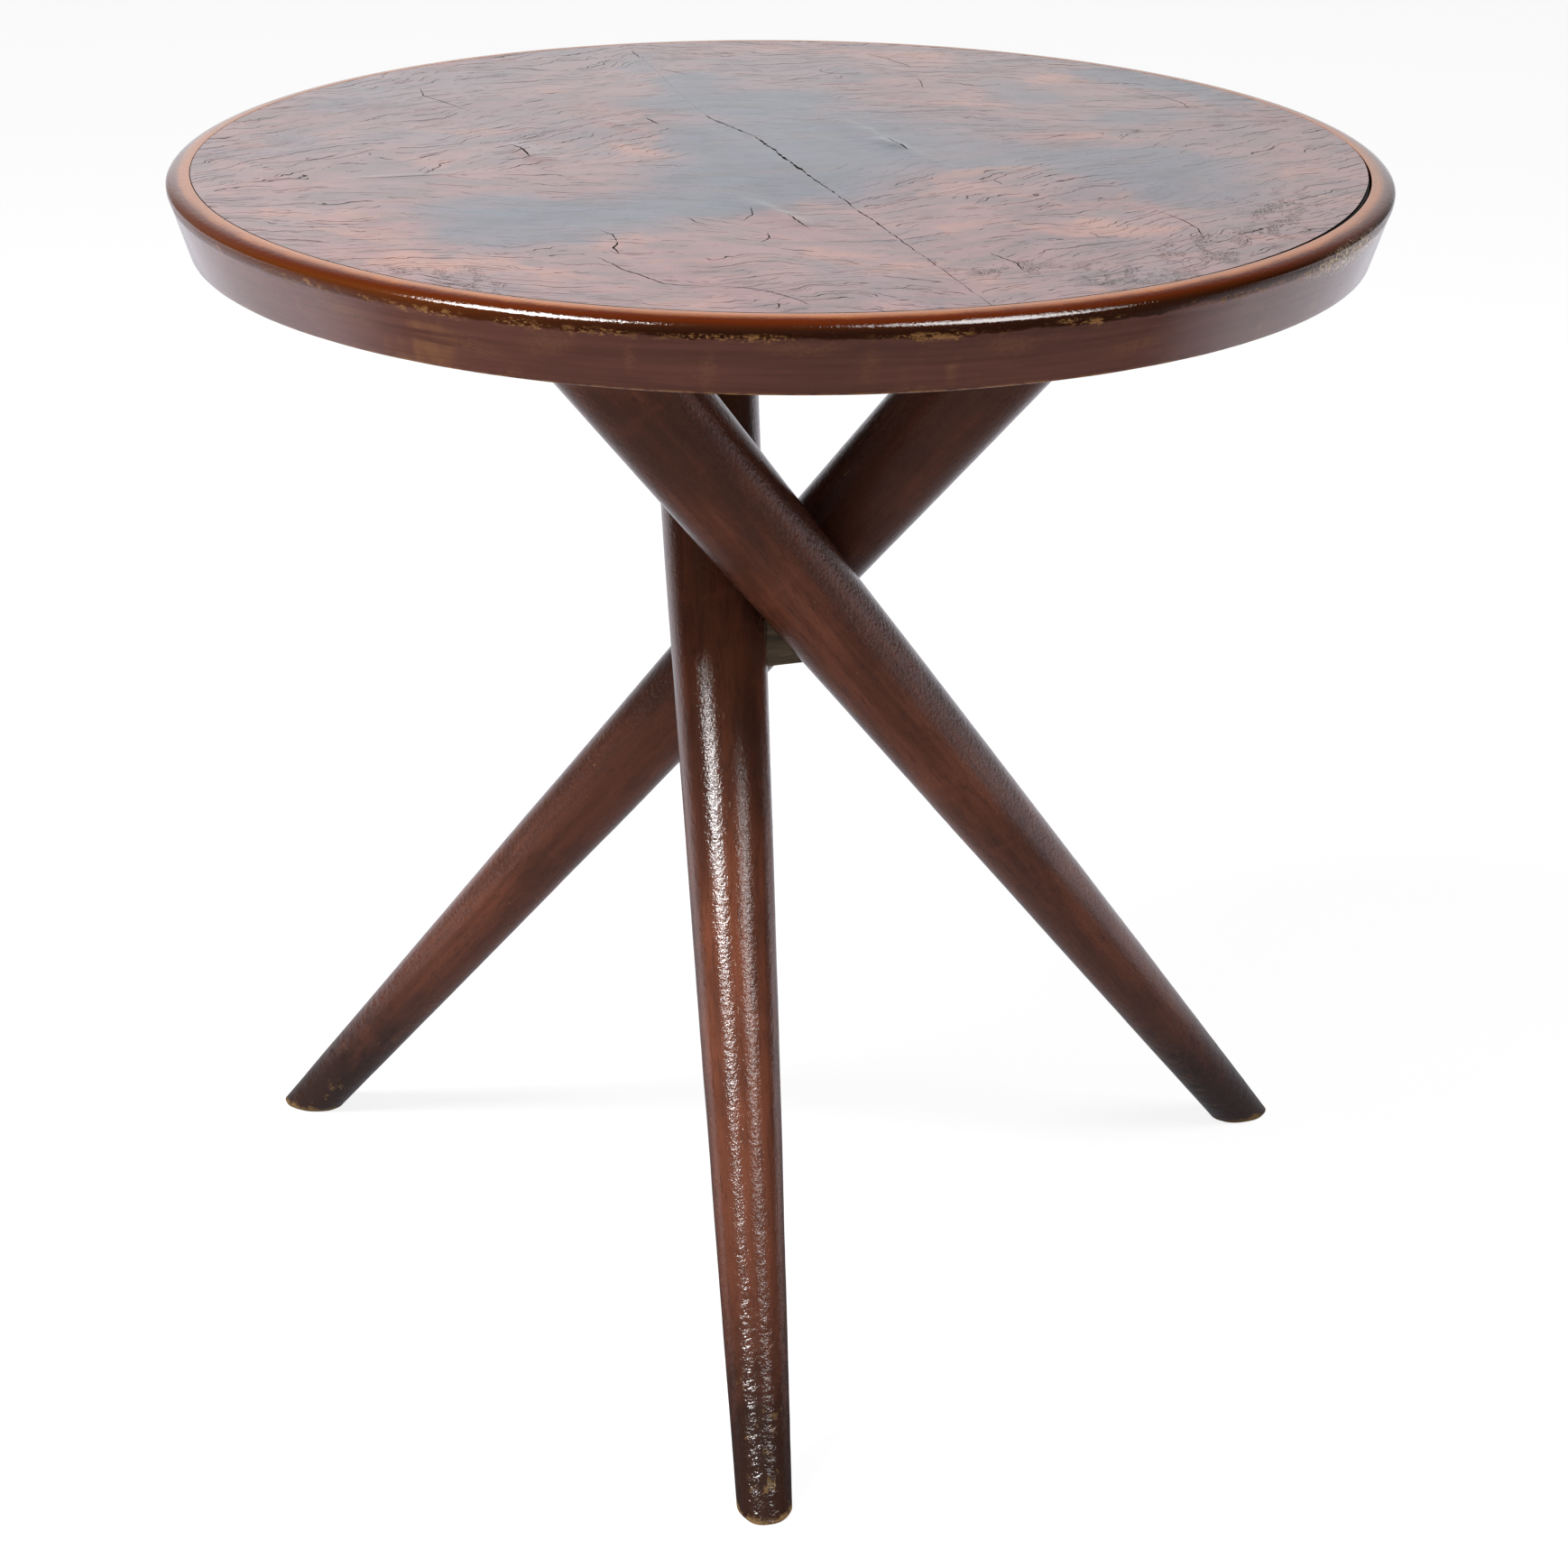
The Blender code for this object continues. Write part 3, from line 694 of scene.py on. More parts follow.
def crack_body(top, width, route):
    """A slender pointed wedge along a route, to be cut out of the veneer."""
    places = []
    for (x0, y0), (x1, y1) in zip(route, route[1:]):
        length = sqrt((x1 - x0) ** 2 + (y1 - y0) ** 2)
        parts = max(2, ceil(length / CRACK_STEP))
        places += [(x0 + (x1 - x0) * k / parts, y0 + (y1 - y0) * k / parts)
                   for k in range(parts)]
    places.append(route[-1])
    rows = []
    last = len(places) - 1
    for k, (x, y) in enumerate(places):
        ahead = places[min(k + 1, last)]
        behind = places[max(k - 1, 0)]
        run = Vector((ahead[0] - behind[0], ahead[1] - behind[1])).normalized()
        wander = CRACK_WANDER * ripple((x, y, 0), 320, 7)
        share = k / last
        half = width * CRACK_SPREAD * (sin(pi * share) ** 0.6 + 0.06)
        half *= 1 + 0.6 * ripple((x, y, 1), 400, 4)
        half = max(half, CRACK_LEAST)
        row = []
        for side, height in ((half, CRACK_OVERRUN), (-half, CRACK_OVERRUN),
                             (-half / 3, -top.crack_depth), (half / 3, -top.crack_depth)):
            place = place_of_mark(x - run.y * (side + wander), y + run.x * (side + wander))
            row.append(Vector((*place, TABLE_HEIGHT + height)))
        rows.append(row)
    return wrap_rows(rows)


def cracks_of(top, along_sign, across_sign):
    """The cracks that have a point on a sheet, as bodies to cut out of it."""
    turn = Matrix.Rotation(-top.match_angle, 4, 'Z')
    bodies = []
    for width, *route in CRACKS:
        sides = []
        for x, y in route:
            here = turn @ Vector((*place_of_mark(x, y), 0))
            sides.append((here.x - top.match_along) * along_sign > CRACK_MARGINS[0]
                         and (here.y - top.match_across) * across_sign > CRACK_MARGINS[1])
        if any(sides):
            bodies.append(crack_body(top, width, route))
    return bodies


# Clouds in the burl: place seen from the front, half length, half width, turn and strength
CLOUDS = (
    (0.015, 0.045, 0.078, 0.080, 0, 1.0),
    (-0.022, 0.135, 0.054, 0.044, -10, 1.0),
    (-0.045, 0.188, 0.024, 0.036, 0, 0.95),
    (-0.002, -0.018, 0.064, 0.060, 0, 1.0),
    (-0.035, -0.070, 0.066, 0.034, 20, 1.0),
    (-0.112, -0.110, 0.064, 0.036, -5, 1.0),
    (-0.128, -0.146, 0.036, 0.024, -10, 0.9),
    (-0.078, 0.243, 0.014, 0.024, 0, 0.7),
    (0.098, 0.022, 0.050, 0.034, 0, 0.8),
    (0.165, 0.014, 0.068, 0.030, -12, 0.85),
    (0.200, -0.032, 0.034, 0.054, 8, 0.85),
    (0.190, 0.206, 0.044, 0.017, -38, 0.95),
    (0.222, 0.172, 0.022, 0.014, -50, 0.7),
    (0.132, 0.172, 0.036, 0.020, -38, 0.6),
    (0.184, 0.112, 0.030, 0.018, 5, 0.65),
    (0.032, 0.217, 0.020, 0.016, 0, 0.55),
    (-0.005, 0.238, 0.032, 0.026, 0, 0.4),
    (0.236, 0.142, 0.013, 0.012, 0, 0.4),
    (-0.221, 0.133, 0.017, 0.036, -10, 0.5),
    (-0.246, 0.046, 0.015, 0.036, 0, 0.4),
    (-0.168, 0.198, 0.040, 0.026, 25, 0.35),
    (-0.200, -0.010, 0.030, 0.014, 20, 0.25),
    (0.166, -0.182, 0.013, 0.030, 0, 0.3),
    (0.100, 0.105, 0.030, 0.020, -30, 0.35),
    (-0.165, 0.120, 0.080, 0.090, 20, 0.22),
    (-0.215, -0.040, 0.050, 0.070, 0, 0.20),
    (-0.060, 0.262, 0.090, 0.030, 0, 0.20),
    (0.225, 0.075, 0.030, 0.060, 0, 0.18),
)
# Warm patches where the burl glows through: place, half length, half width, turn and glow
WARM_PATCHES = (
    (-0.074, 0.058, 0.016, 0.034, 12, 0.75),
    (-0.142, -0.200, 0.058, 0.022, -26, 0.95),
    (0.150, 0.203, 0.034, 0.012, -58, 0.90),
    (0.192, 0.146, 0.032, 0.014, -18, 0.90),
    (0.076, 0.243, 0.022, 0.036, -10, 0.60),
    (0.268, -0.015, 0.016, 0.060, 0, 0.45),
    (0.148, -0.105, 0.034, 0.050, 0, 0.45),
    (0.108, -0.070, 0.050, 0.024, -20, 0.45),
    (-0.010, -0.198, 0.050, 0.030, 0, 0.45),
    (-0.240, -0.070, 0.024, 0.080, 10, 0.30),
    (-0.120, 0.085, 0.030, 0.020, 30, 0.40),
    (-0.070, -0.165, 0.022, 0.018, -40, 0.50),
    (0.080, 0.160, 0.030, 0.018, 50, 0.35),
    (0.085, -0.205, 0.060, 0.022, 25, 0.40),
    (-0.270, 0.030, 0.014, 0.070, 0, 0.40),
    (-0.020, 0.272, 0.060, 0.014, 0, 0.45),
)
# Knots that the cracks run round: place seen from the front, radius and strength
KNOTS = (
    (0.034, 0.225, 0.022, 0.016),
    (0.160, -0.129, 0.024, 0.018),
    (-0.027, -0.192, 0.016, 0.012),
    (0.022, -0.188, 0.020, 0.014),
    (0.102, -0.185, 0.022, 0.012),
    (0.265, 0.015, 0.024, 0.014),
    (-0.215, 0.028, 0.050, 0.022),
    (-0.196, 0.214, 0.030, 0.016),
    (-0.105, 0.208, 0.024, -0.012),
    (-0.190, -0.060, 0.050, -0.014),
    (0.215, 0.040, 0.045, 0.014),
    (-0.105, -0.215, 0.040, 0.016),
    (0.040, -0.225, 0.030, -0.012),
    (0.120, 0.215, 0.035, 0.014),
)
# Patches of crazed varnish: place, half length, half width and turn
CRAZED_PATCHES = (
    (0.205, -0.150, 0.050, 0.022, 50),
    (0.160, -0.200, 0.035, 0.018, 35),
    (0.235, -0.090, 0.020, 0.045, 0),
    (-0.150, -0.225, 0.040, 0.012, -35),
    (0.100, -0.200, 0.030, 0.018, 0),
)
# Hairlines in three sizes: spacing, width as a share of it, how often they break off along
# the figure and across it, seed, and threshold that leaves fewer of them
HAIRLINES = (
    (0.0135, 0.016, 24, 110, 0.0, 0.630),
    (0.0080, 0.019, 36, 190, 3.7, 0.645),
    (0.0048, 0.024, 60, 320, 8.1, 0.660),
)
# Angle between the figure and the second seam
FIGURE_LEAN = radians(18)


def hairlines(run, level, density, spacing, width, dash_run, dash_level, seed, threshold):
    """Thin broken lines where the level reaches each step of a spacing."""
    phase = math('FRACT', plus(seed, level, 1 / spacing))
    line = math('ABSOLUTE', math('SUBTRACT', phase, 0.5))
    line = span(line, width * 1.8, width * 0.8)
    dashes = noise(join(plus(seed * 5, run, dash_run), plus(seed, level, dash_level), seed),
                   1, 3, 0.6)
    return times(line, span(math('ADD', dashes, density), threshold, threshold + 0.035))


def crazed_cells(flat, seen, seen_swirled):
    """Edges of the small broken cells in the patches of crazed varnish."""
    cells = shifted(scaled(seen, (170, 78, 0)), noise(flat, 150, 2, 0.5, colour=True),
                    (1.3, 1.3, 0))
    edge = add_node('ShaderNodeTexVoronoi', {"Vector": cells}, feature='DISTANCE_TO_EDGE',
                    voronoi_dimensions='2D').outputs["Distance"]
    crazed = strongest(patch(seen_swirled, *spot, 0.45) for spot in CRAZED_PATCHES)
    broken = span(noise(seen, (110, 60, 0), 3, 0.6), 0.50, 0.54)
    return times(span(edge, 0.095, 0.050), times(crazed, broken))


def burl_finish(top):
    """Cloudy, matched burl under crazed varnish."""
    material, placed = start_material("burl_walnut")
    flat = scaled(placed, (1, 1, 0))
    seen = turned(flat, VIEW_TURN, (*MARK_ORIGIN, 0))
    matched = vector('ABSOLUTE', turned(
        flat, top.match_angle, (top.match_along, top.match_across, 0)))
    swirl = sway(flat, 16, 4, 0.62)
    seen_swirled = shifted(seen, swirl, (0.075, 0.075, 0))
    figure = turned(shifted(matched, swirl, (0.020, 0.020, 0)), pi / 2 + FIGURE_LEAN)

    clouds = strongest(times(patch(seen_swirled, *spot, 0.42), strength)
                       for *spot, strength in CLOUDS)
    glows = strongest(times(patch(seen_swirled, *spot, 0.6), strength)
                      for *spot, strength in WARM_PATCHES)
    streak = noise(figure, (9, 34, 0), 5, 0.6)
    clouds = times(less(clouds, glows), span(streak, 0.26, 0.52, 0.55, 1))

    mottle = noise(figure, (26, 70, 0), 4, 0.6)
    fibre = noise(figure, (60, 620, 0), 3, 0.6)
    haze = noise(seen_swirled, 9, 3, 0.55)
    warmth = plus(noise(seen_swirled, (14, 22, 0), 3, 0.55), glows, 0.17)
    dark = shade(top.burl_colour, 0.45)
    pale_cloud = shade(top.cloud_colour, 2.2)
    colour = mix(span(mottle, 0.33, 0.62), dark, top.burl_colour)
    colour = mix(span(haze, 0.46, 0.70, 0, 0.40), colour, pale_cloud)
    colour = mix(span(warmth, 0.52, 0.80, 0, 0.90), colour, top.amber_colour)
    colour = mix(span(fibre, 0.30, 0.70, 0.30, 0), colour, dark)
    cloud_colour = mix(span(mottle, 0.30, 0.75), top.cloud_colour, pale_cloud)
    colour = mix(times(clouds, 0.93), colour, cloud_colour)

    run, level = split(figure)[:2]
    for x, y, radius, strength in KNOTS:
        away = vector('LENGTH', vector('SUBTRACT', seen, (x, y, 0)))
        reach = math('DIVIDE', away, radius)
        swell = math('EXPONENT', times(times(reach, reach), -1.0))
        level = plus(level, swell, strength)
    level = plus(level, noise(flat, 8, 2, 0.5), 0.080)
    level = plus(level, noise(flat, 30, 3, 0.55), 0.015)
    rimward = span(vector('LENGTH', flat), 0.16, 0.27, 0, 0.035)
    density = plus(rimward, noise(seen, 9, 3, 0.6), 0.22)
    cracks = strongest(hairlines(run, level, density, *lines) for lines in HAIRLINES)
    cracks = larger(cracks, crazed_cells(flat, seen, seen_swirled))
    cracks = times(cracks, less(1.0, times(clouds, 0.72)))

    dirt = times(cracks, 0.95)
    colour = mix(dirt, colour, top.crack_colour)
    roughness = span(noise(flat, 9, 5, 0.7), 0.35, 0.70, 0.20, 0.34)
    roughness = larger(roughness, times(dirt, 0.8))
    relief = plus(times(cracks, -1.0), noise(flat, 70, 3, 0.55), 0.34)
    relief = plus(relief, fibre, 0.05)
    return end_material(material, colour, roughness, bump(relief, 0.0005, 0.40),
                        coat=less(1.0, dirt), coat_roughness=0.07)


def veneer_edge_finish(top):
    """Dirty broken edges in seams and cracks."""
    material, placed = start_material("veneer_edges")
    grime = noise(placed, 700, 3, 0.65)
    colour = mix(span(grime, 0.45, 0.70), top.crack_colour, shade(top.crack_colour, 4))
    return end_material(material, colour, 0.9, bump(grime, 0.0003, 0.6), specular=0.1)


def lay_veneers(top):
    """Four sheets whose edges and cracks are dark."""
    material = burl_finish(top)
    edges = veneer_edge_finish(top)
    for index, (along, across) in enumerate(((1, 1), (-1, 1), (-1, -1), (1, -1))):
        points, faces = veneer_quarter(top, along, across)
        piece = add_piece(f"burl_sheet_{index + 1}", points, faces, material,
                          [f"veneer_quarter_{index + 1}"])
        piece.data.materials.append(edges)
        for face in piece.data.polygons[VENEER_STEPS ** 2:]:
            face.material_index = 1
        carve(piece, cracks_of(top, along, across), 1)


# Rim

RIM_JOINT_ANGLE = radians(-81.5)
RIM_STEPS = 84
RIM_JOINT_GAP = 0.00002
RIM_INNER_ROUND = 0.0005
RIM_LIP_SLOPE = (0.0026, 0.00010)
RIM_ROUND_DROP = 0.0050
# Above one, the round is flatter halfway than an ellipse
RIM_ROUND_SQUARENESS = 1.22
RIM_ARRIS_DROP = 0.0096
RIM_ARRIS_INSET = 0.0013
RIM_EDGE_CHAMFER = 0.0008
# Drops below the top between which the side takes over from the lip, and that of the chips
RIM_SIDE_START = (0.0088, 0.0102)
RIM_CHIP_DROP = 0.0092
# Varnish low on the bead, lighter at the left with painted light and darker towards the front
# and right with painted shade, and bare wood under the rim
RIM_LOW_LIT_AND_SHADED_COLOURS = ((0.082, 0.019, 0.003), (0.027, 0.006, 0.001))
RIM_BARE_COLOURS = ((0.075, 0.045, 0.026), (0.150, 0.090, 0.050))
# Pale gold of the pebbled varnish near the right end, partly a painted glint where its relief
# catches the light
RIM_PEBBLE_AND_GLINT_COLOUR = (0.560, 0.400, 0.240)
# General wear, depth of the knocks and how worn a place is before it has any
RIM_RUB = 0.00010
RIM_KNOCK = 0.0011
RIM_KNOCK_START = 0.45

# Worn places on the arris: arc from the front, drop below the top, half length and half width
RIM_WEAR_PLACES = (
    (-0.199, 0.0086, 0.0045, 0.0012),
    (-0.167, 0.0092, 0.0180, 0.0013),
    (-0.119, 0.0086, 0.0140, 0.0020),
    (-0.082, 0.0088, 0.0150, 0.0016),
    (-0.021, 0.0086, 0.0280, 0.0016),
    (0.066, 0.0088, 0.0230, 0.0014),
    (0.130, 0.0066, 0.0060, 0.0010),
    (-0.260, 0.0092, 0.0180, 0.0013),
    (0.230, 0.0094, 0.0220, 0.0014),
)
# Pebbled varnish near the right end: arc, drop, half length and half width
RIM_PEBBLES = (0.330, 0.0100, 0.0440, 0.0052)
# Ochre smudges on the side, with their turn
RIM_SMUDGES = (
    (-0.067, 0.021, 0.0022, 0.0060, 0),
    (-0.032, 0.025, 0.0036, 0.0080, 8),
    (0.062, 0.0345, 0.0100, 0.0016, 0),
    (-0.105, 0.017, 0.0120, 0.0050, -12),
    (-0.145, 0.023, 0.0160, 0.0030, 6),
    (0.010, 0.014, 0.0140, 0.0030, 0),
    (0.040, 0.022, 0.0040, 0.0070, 14),
    (0.105, 0.016, 0.0110, 0.0040, 4),
    (0.170, 0.024, 0.0140, 0.0030, -6),
    (-0.215, 0.018, 0.0140, 0.0040, 10),
)


def rim_section(rim):
    """The rim's section once round: radius, height and how much it is worn there."""
    mouth = rim.radius - rim.lip_width
    foot = rim.radius - rim.foot_inset
    bore = foot - rim.foot_width
    inner = RIM_INNER_ROUND
    edge = RIM_EDGE_CHAMFER
    points = []
    for k in range(4):
        angle = pi / 2 * k / 4
        points.append((mouth + inner * (1 - cos(angle)),
                       TABLE_HEIGHT - inner * (1 - sin(angle)), 0))
    slope_width, slope_drop = RIM_LIP_SLOPE
    for k in range(5):
        share = k / 5
        points.append((mouth + inner + (slope_width - inner) * share,
                       TABLE_HEIGHT - slope_drop * share ** 2, 0.15))
    lip_end = mouth + slope_width
    for k in range(17):
        angle = pi / 2 * k / 16
        out = sin(angle) ** RIM_ROUND_SQUARENESS
        down = 1 - cos(angle) ** RIM_ROUND_SQUARENESS
        points.append((lip_end + (rim.radius - lip_end) * out, TABLE_HEIGHT - slope_drop
                       - (RIM_ROUND_DROP - slope_drop) * down, 0.2 + 0.2 * k / 16))
    under = RIM_ARRIS_DROP - RIM_ROUND_DROP
    for k in range(1, 7):
        share = k / 6
        points.append((rim.radius - RIM_ARRIS_INSET * share ** 2,
                       TABLE_HEIGHT - RIM_ROUND_DROP - under * share, 0.4 + 0.6 * share))
    top_r, top_z = points[-1][:2]
    side_steps = 12
    for k in range(1, side_steps + 1):
        share = k / side_steps
        points.append((top_r + (foot - top_r) * share,
                       top_z + (RIM_BOTTOM + edge - top_z) * share, 0.5 if k > 1 else 1.0))
    points += [(foot - edge / 3, RIM_BOTTOM + edge / 3, 0.8), (foot - edge, RIM_BOTTOM, 0.6)]
    for k in range(1, 4):
        points.append((foot - edge + (bore + 2 * edge - foot) * k / 4, RIM_BOTTOM, 0.3))
    points += [(bore + edge, RIM_BOTTOM, 0.3), (bore, RIM_BOTTOM + edge, 0.2),
               (bore, REBATE_HEIGHT, 0), (mouth, REBATE_HEIGHT, 0)]
    return points


def rim_wear(place, amount):
    """How far the surface is worn or knocked in, always inwards."""
    if amount <= 0:
        return 0
    soft = RIM_RUB * (1 + ripple(place, 60, 11))
    knocks = max(0, ripple((place.x * 150, place.y * 150, place.z * 420), 1, 23) - 0.38)
    return amount * (soft + RIM_KNOCK * knocks * max(0, amount - RIM_KNOCK_START))


def rim_finish(rim):
    """Worn amber lip over a brown side with grain that runs round the rim."""
    material, placed = start_material("worn_rim")
    x, y, z = split(placed)
    radius = vector('LENGTH', scaled(placed, (1, 1, 0)))
    drop = math('SUBTRACT', TABLE_HEIGHT, z)
    run = join(x, y, math('SUBTRACT', z, radius))
    grain = noise(run, (9, 9, 420), 5, 0.6)
    broad = noise(run, (16, 16, 90), 4, 0.6)
    smear = noise(placed, (30, 30, 14), 4, 0.62)
    specks = noise(placed, (130, 130, 320), 3, 0.65)
    flakes = noise(placed, (480, 480, 900), 3, 0.68)
    ragged = noise(placed, (38, 38, 60), 4, 0.65)
    ragged_drop = shaken(drop, ragged, 0.0075)

    side = mix(span(grain, 0.30, 0.70), shade(rim.side_colour, 0.80),
               shade(rim.side_colour, 1.15))
    side = mix(span(broad, 0.42, 0.72, 0, 0.35), side, shade(rim.side_colour, 0.60))
    ochre = tuple(0.5 * a + 0.5 * b for a, b in zip(rim.side_colour, rim.worn_colour))
    smeared = times(span(smear, 0.56, 0.74, 0, 0.55), span(grain, 0.40, 0.60))
    side = mix(smeared, side, ochre)

    lip = mix(span(shaken(drop, ragged, 0.0012), 0, 0.0011), rim.lip_colour, rim.bead_colour)
    lip = mix(span(grain, 0.32, 0.66, 0.30, 0), lip, shade(rim.bead_colour, 0.5))
    right, beyond = split(turned(placed, VIEW_TURN))[:2]
    around = math('ARCTAN2', right, times(beyond, -1.0))
    # Painted light and shade: the varnish low on the bead is lighter towards the left and darker
    # towards the front and right
    low_varnish_lit_and_shaded = mix(span(around, -0.62, -0.12), *RIM_LOW_LIT_AND_SHADED_COLOURS)
    lip = mix(span(drop, 0.0014, 0.0042, 0, 0.95), lip, low_varnish_lit_and_shaded)
    colour = mix(span(ragged_drop, *RIM_SIDE_START), lip, side)

    unrolled = join(times(around, rim.radius), drop, 0)
    frayed = shifted(unrolled, sway(placed, (160, 160, 420), 3, 0.6), (0.012, 0.006, 0))
    chips = math('ABSOLUTE', math('SUBTRACT', ragged_drop, RIM_CHIP_DROP))
    chips = times(span(specks, 0.50, 0.60), span(chips, 0.0034, 0.0010))
    chips = times(chips, span(smear, 0.46, 0.60, 0, 0.8))
    worn_places = strongest(patch(frayed, *spot, edge=0.35) for spot in RIM_WEAR_PLACES)
    chips = larger(chips, times(worn_places, span(flakes, 0.51, 0.58, 0, 0.85)))
    smudged = span(flakes, 0.36, 0.60, 0.04, 0.26)
    for spot in RIM_SMUDGES:
        colour = mix(times(patch(frayed, *spot, 0.7), smudged), colour, ochre)
    colour = mix(times(chips, 0.75), colour, rim.worn_colour)
    # Pebbled varnish near the right end, painted pale gold, partly as a painted glint on its
    # relief
    pebbles = times(patch(frayed, *RIM_PEBBLES), span(noise(placed, 640, 2, 0.6), 0.47, 0.55))
    colour = mix(times(pebbles, 0.88), colour, RIM_PEBBLE_AND_GLINT_COLOUR)

    foot = rim.radius - rim.foot_inset
    worn_edge = times(span(z, RIM_BOTTOM + 0.0016, RIM_BOTTOM + 0.0003),
                      span(radius, foot - 0.003, foot - 0.001))
    worn_edge = times(worn_edge, span(specks, 0.40, 0.60, 0.05, 0.6))
    colour = mix(worn_edge, colour, rim.worn_colour)
    under = times(span(radius, foot - 0.004, foot - 0.010), span(drop, 0.010, 0.014))
    colour = mix(under, colour, mix(span(grain, 0.35, 0.65), *RIM_BARE_COLOURS))

    roughness = strongest((plus(0.16, broad, 0.22), times(chips, 0.55), times(under, 0.7)))
    crinkle = noise(placed, (460, 460, 760), 3, 0.66)
    relief = times(crinkle, span(drop, 0.0110, 0.0080, 0.08, 1.1))
    for value, factor in ((grain, 0.06), (chips, -0.6), (pebbles, 1.5)):
        relief = plus(relief, value, factor)
    hollow = times(span(drop, 0.0046, 0.0066, 0, 0.62), span(drop, 0.0112, 0.0094))
    return end_material(material, colour, roughness, bump(relief, 0.0004, 0.40),
                        coat=less(1.0, strongest((chips, under, hollow))),
                        coat_roughness=0.05, coat_ior=1.75, specular=0.04)


def turn_rim(rim):
    """Six curved lengths with softened, knocked edges and their tongue slots."""
    material = rim_finish(rim)
    section = rim_section(rim)
    sweep = 2 * pi / RIM_LENGTHS
    half_gap = RIM_JOINT_GAP / 2 / rim.radius
    arc = sweep - 2 * half_gap
    count = len(section)
    inward = []
    for k in range(count):
        (r0, z0, _), (r1, z1, _) = section[k - 1], section[(k + 1) % count]
        inward.append(Vector((z1 - z0, r0 - r1)).normalized())
    for index in range(RIM_LENGTHS):
        start = RIM_JOINT_ANGLE + index * sweep + half_gap
        rows = []
        for i in range(RIM_STEPS + 1):
            angle = start + arc * i / RIM_STEPS
            row = []
            for (radius, height, amount), normal in zip(section, inward):
                place = Vector((radius * cos(angle), radius * sin(angle), height))
                worn = rim_wear(place, amount)
                radius += normal.x * worn
                height += normal.y * worn
                row.append((radius * cos(angle), radius * sin(angle), height))
            rows.append(row)
        points, faces = wrap_rows(rows)
        piece = add_piece(f"worn_rim_{index + 1}", points, faces, material,
                          [f"rim_length_{index + 1}"])
        carve(piece, [grown_solid(f"rim_tongue_{end % RIM_LENGTHS + 1}", GLUE_LINE)
                      for end in (index, index + 1)])


# Legs

LEG_SIDES = 72
LEG_ROWS = 170
SETTING_ROUNDS = 12
# How much painted shade darkens the front, right and left leg from the middle upwards
MIDDLE_PAINTED_SHADES = (0.0, 0.0, 0.45)
LEG_BLACK = (0.016, 0.009, 0.007)
# Height up to which the foot is eased, and how far in its sawn edge is worn
FOOT_EASE = 0.0012
FOOT_WEAR = 0.0011
# Unevenness of the turning: reach, squeeze along the leg, frequency and seed
LEG_RIPPLES = ((0.00016, 0.35, 55, 0), (0.00007, 0.7, 190, 4))


def leg_radius(legs, share):
    """Radius of a leg at a share of its length, from the floor to the shoulder."""
    taper = legs.shoulder_radius - legs.foot_radius
    return legs.foot_radius + taper * share * (1 + legs.swell * (1 - share))


def set_out_legs(legs):
    """Crossing height, crossing radius and lean of straight legs that just touch."""
    radius = 0
    for _ in range(SETTING_ROUNDS):
        foot_travel = sqrt(legs.foot_circle ** 2 - radius ** 2)
        head_travel = sqrt(legs.head_circle ** 2 - radius ** 2)
        share = foot_travel / (foot_travel + head_travel)
        lean = (foot_travel + head_travel) / SHOULDER_HEIGHT
        touching = 2 * leg_radius(legs, share) + GLUE_LINE
        tilt_stretch = sqrt(1 + (lean * cos(LEG_TURN / 2)) ** 2)
        radius = touching / (2 * sin(LEG_TURN / 2)) * tilt_stretch
    return share * SHOULDER_HEIGHT, radius, lean


def leg_frame(legs, index):
    """Frame of a leg on the floor, Z along it, and the leg's length to the shoulder."""
    crossing, radius, lean = set_out_legs(legs)
    lead = acos(radius / legs.foot_circle)
    angle = legs.front_foot_angle - lead + index * LEG_TURN
    outward = Vector((cos(angle), sin(angle), 0))
    ends = []
    for height in (0, SHOULDER_HEIGHT):
        travel = lean * (height - crossing)
        ends.append(Vector((radius * cos(angle) + travel * sin(angle),
                            radius * sin(angle) - travel * cos(angle), height)))
    along = (ends[1] - ends[0]).normalized()
    matrix = Matrix((outward, along.cross(outward), along)).transposed().to_4x4()
    matrix.translation = ends[0]
    return matrix, (ends[1] - ends[0]).length


def level_ring(matrix, height, radius_at):
    """Local points of the level section of a round bar at a height."""
    side_rise = matrix[2][1]
    rise = matrix[2][2]
    ring = []
    for k in range(LEG_SIDES):
        angle = 2 * pi * k / LEG_SIDES
        travel = height / rise
        for _ in range(6):
            radius = radius_at(travel)
            travel = (height - radius * sin(angle) * side_rise) / rise
        ring.append(Vector((radius * cos(angle), radius * sin(angle), travel)))
    return ring


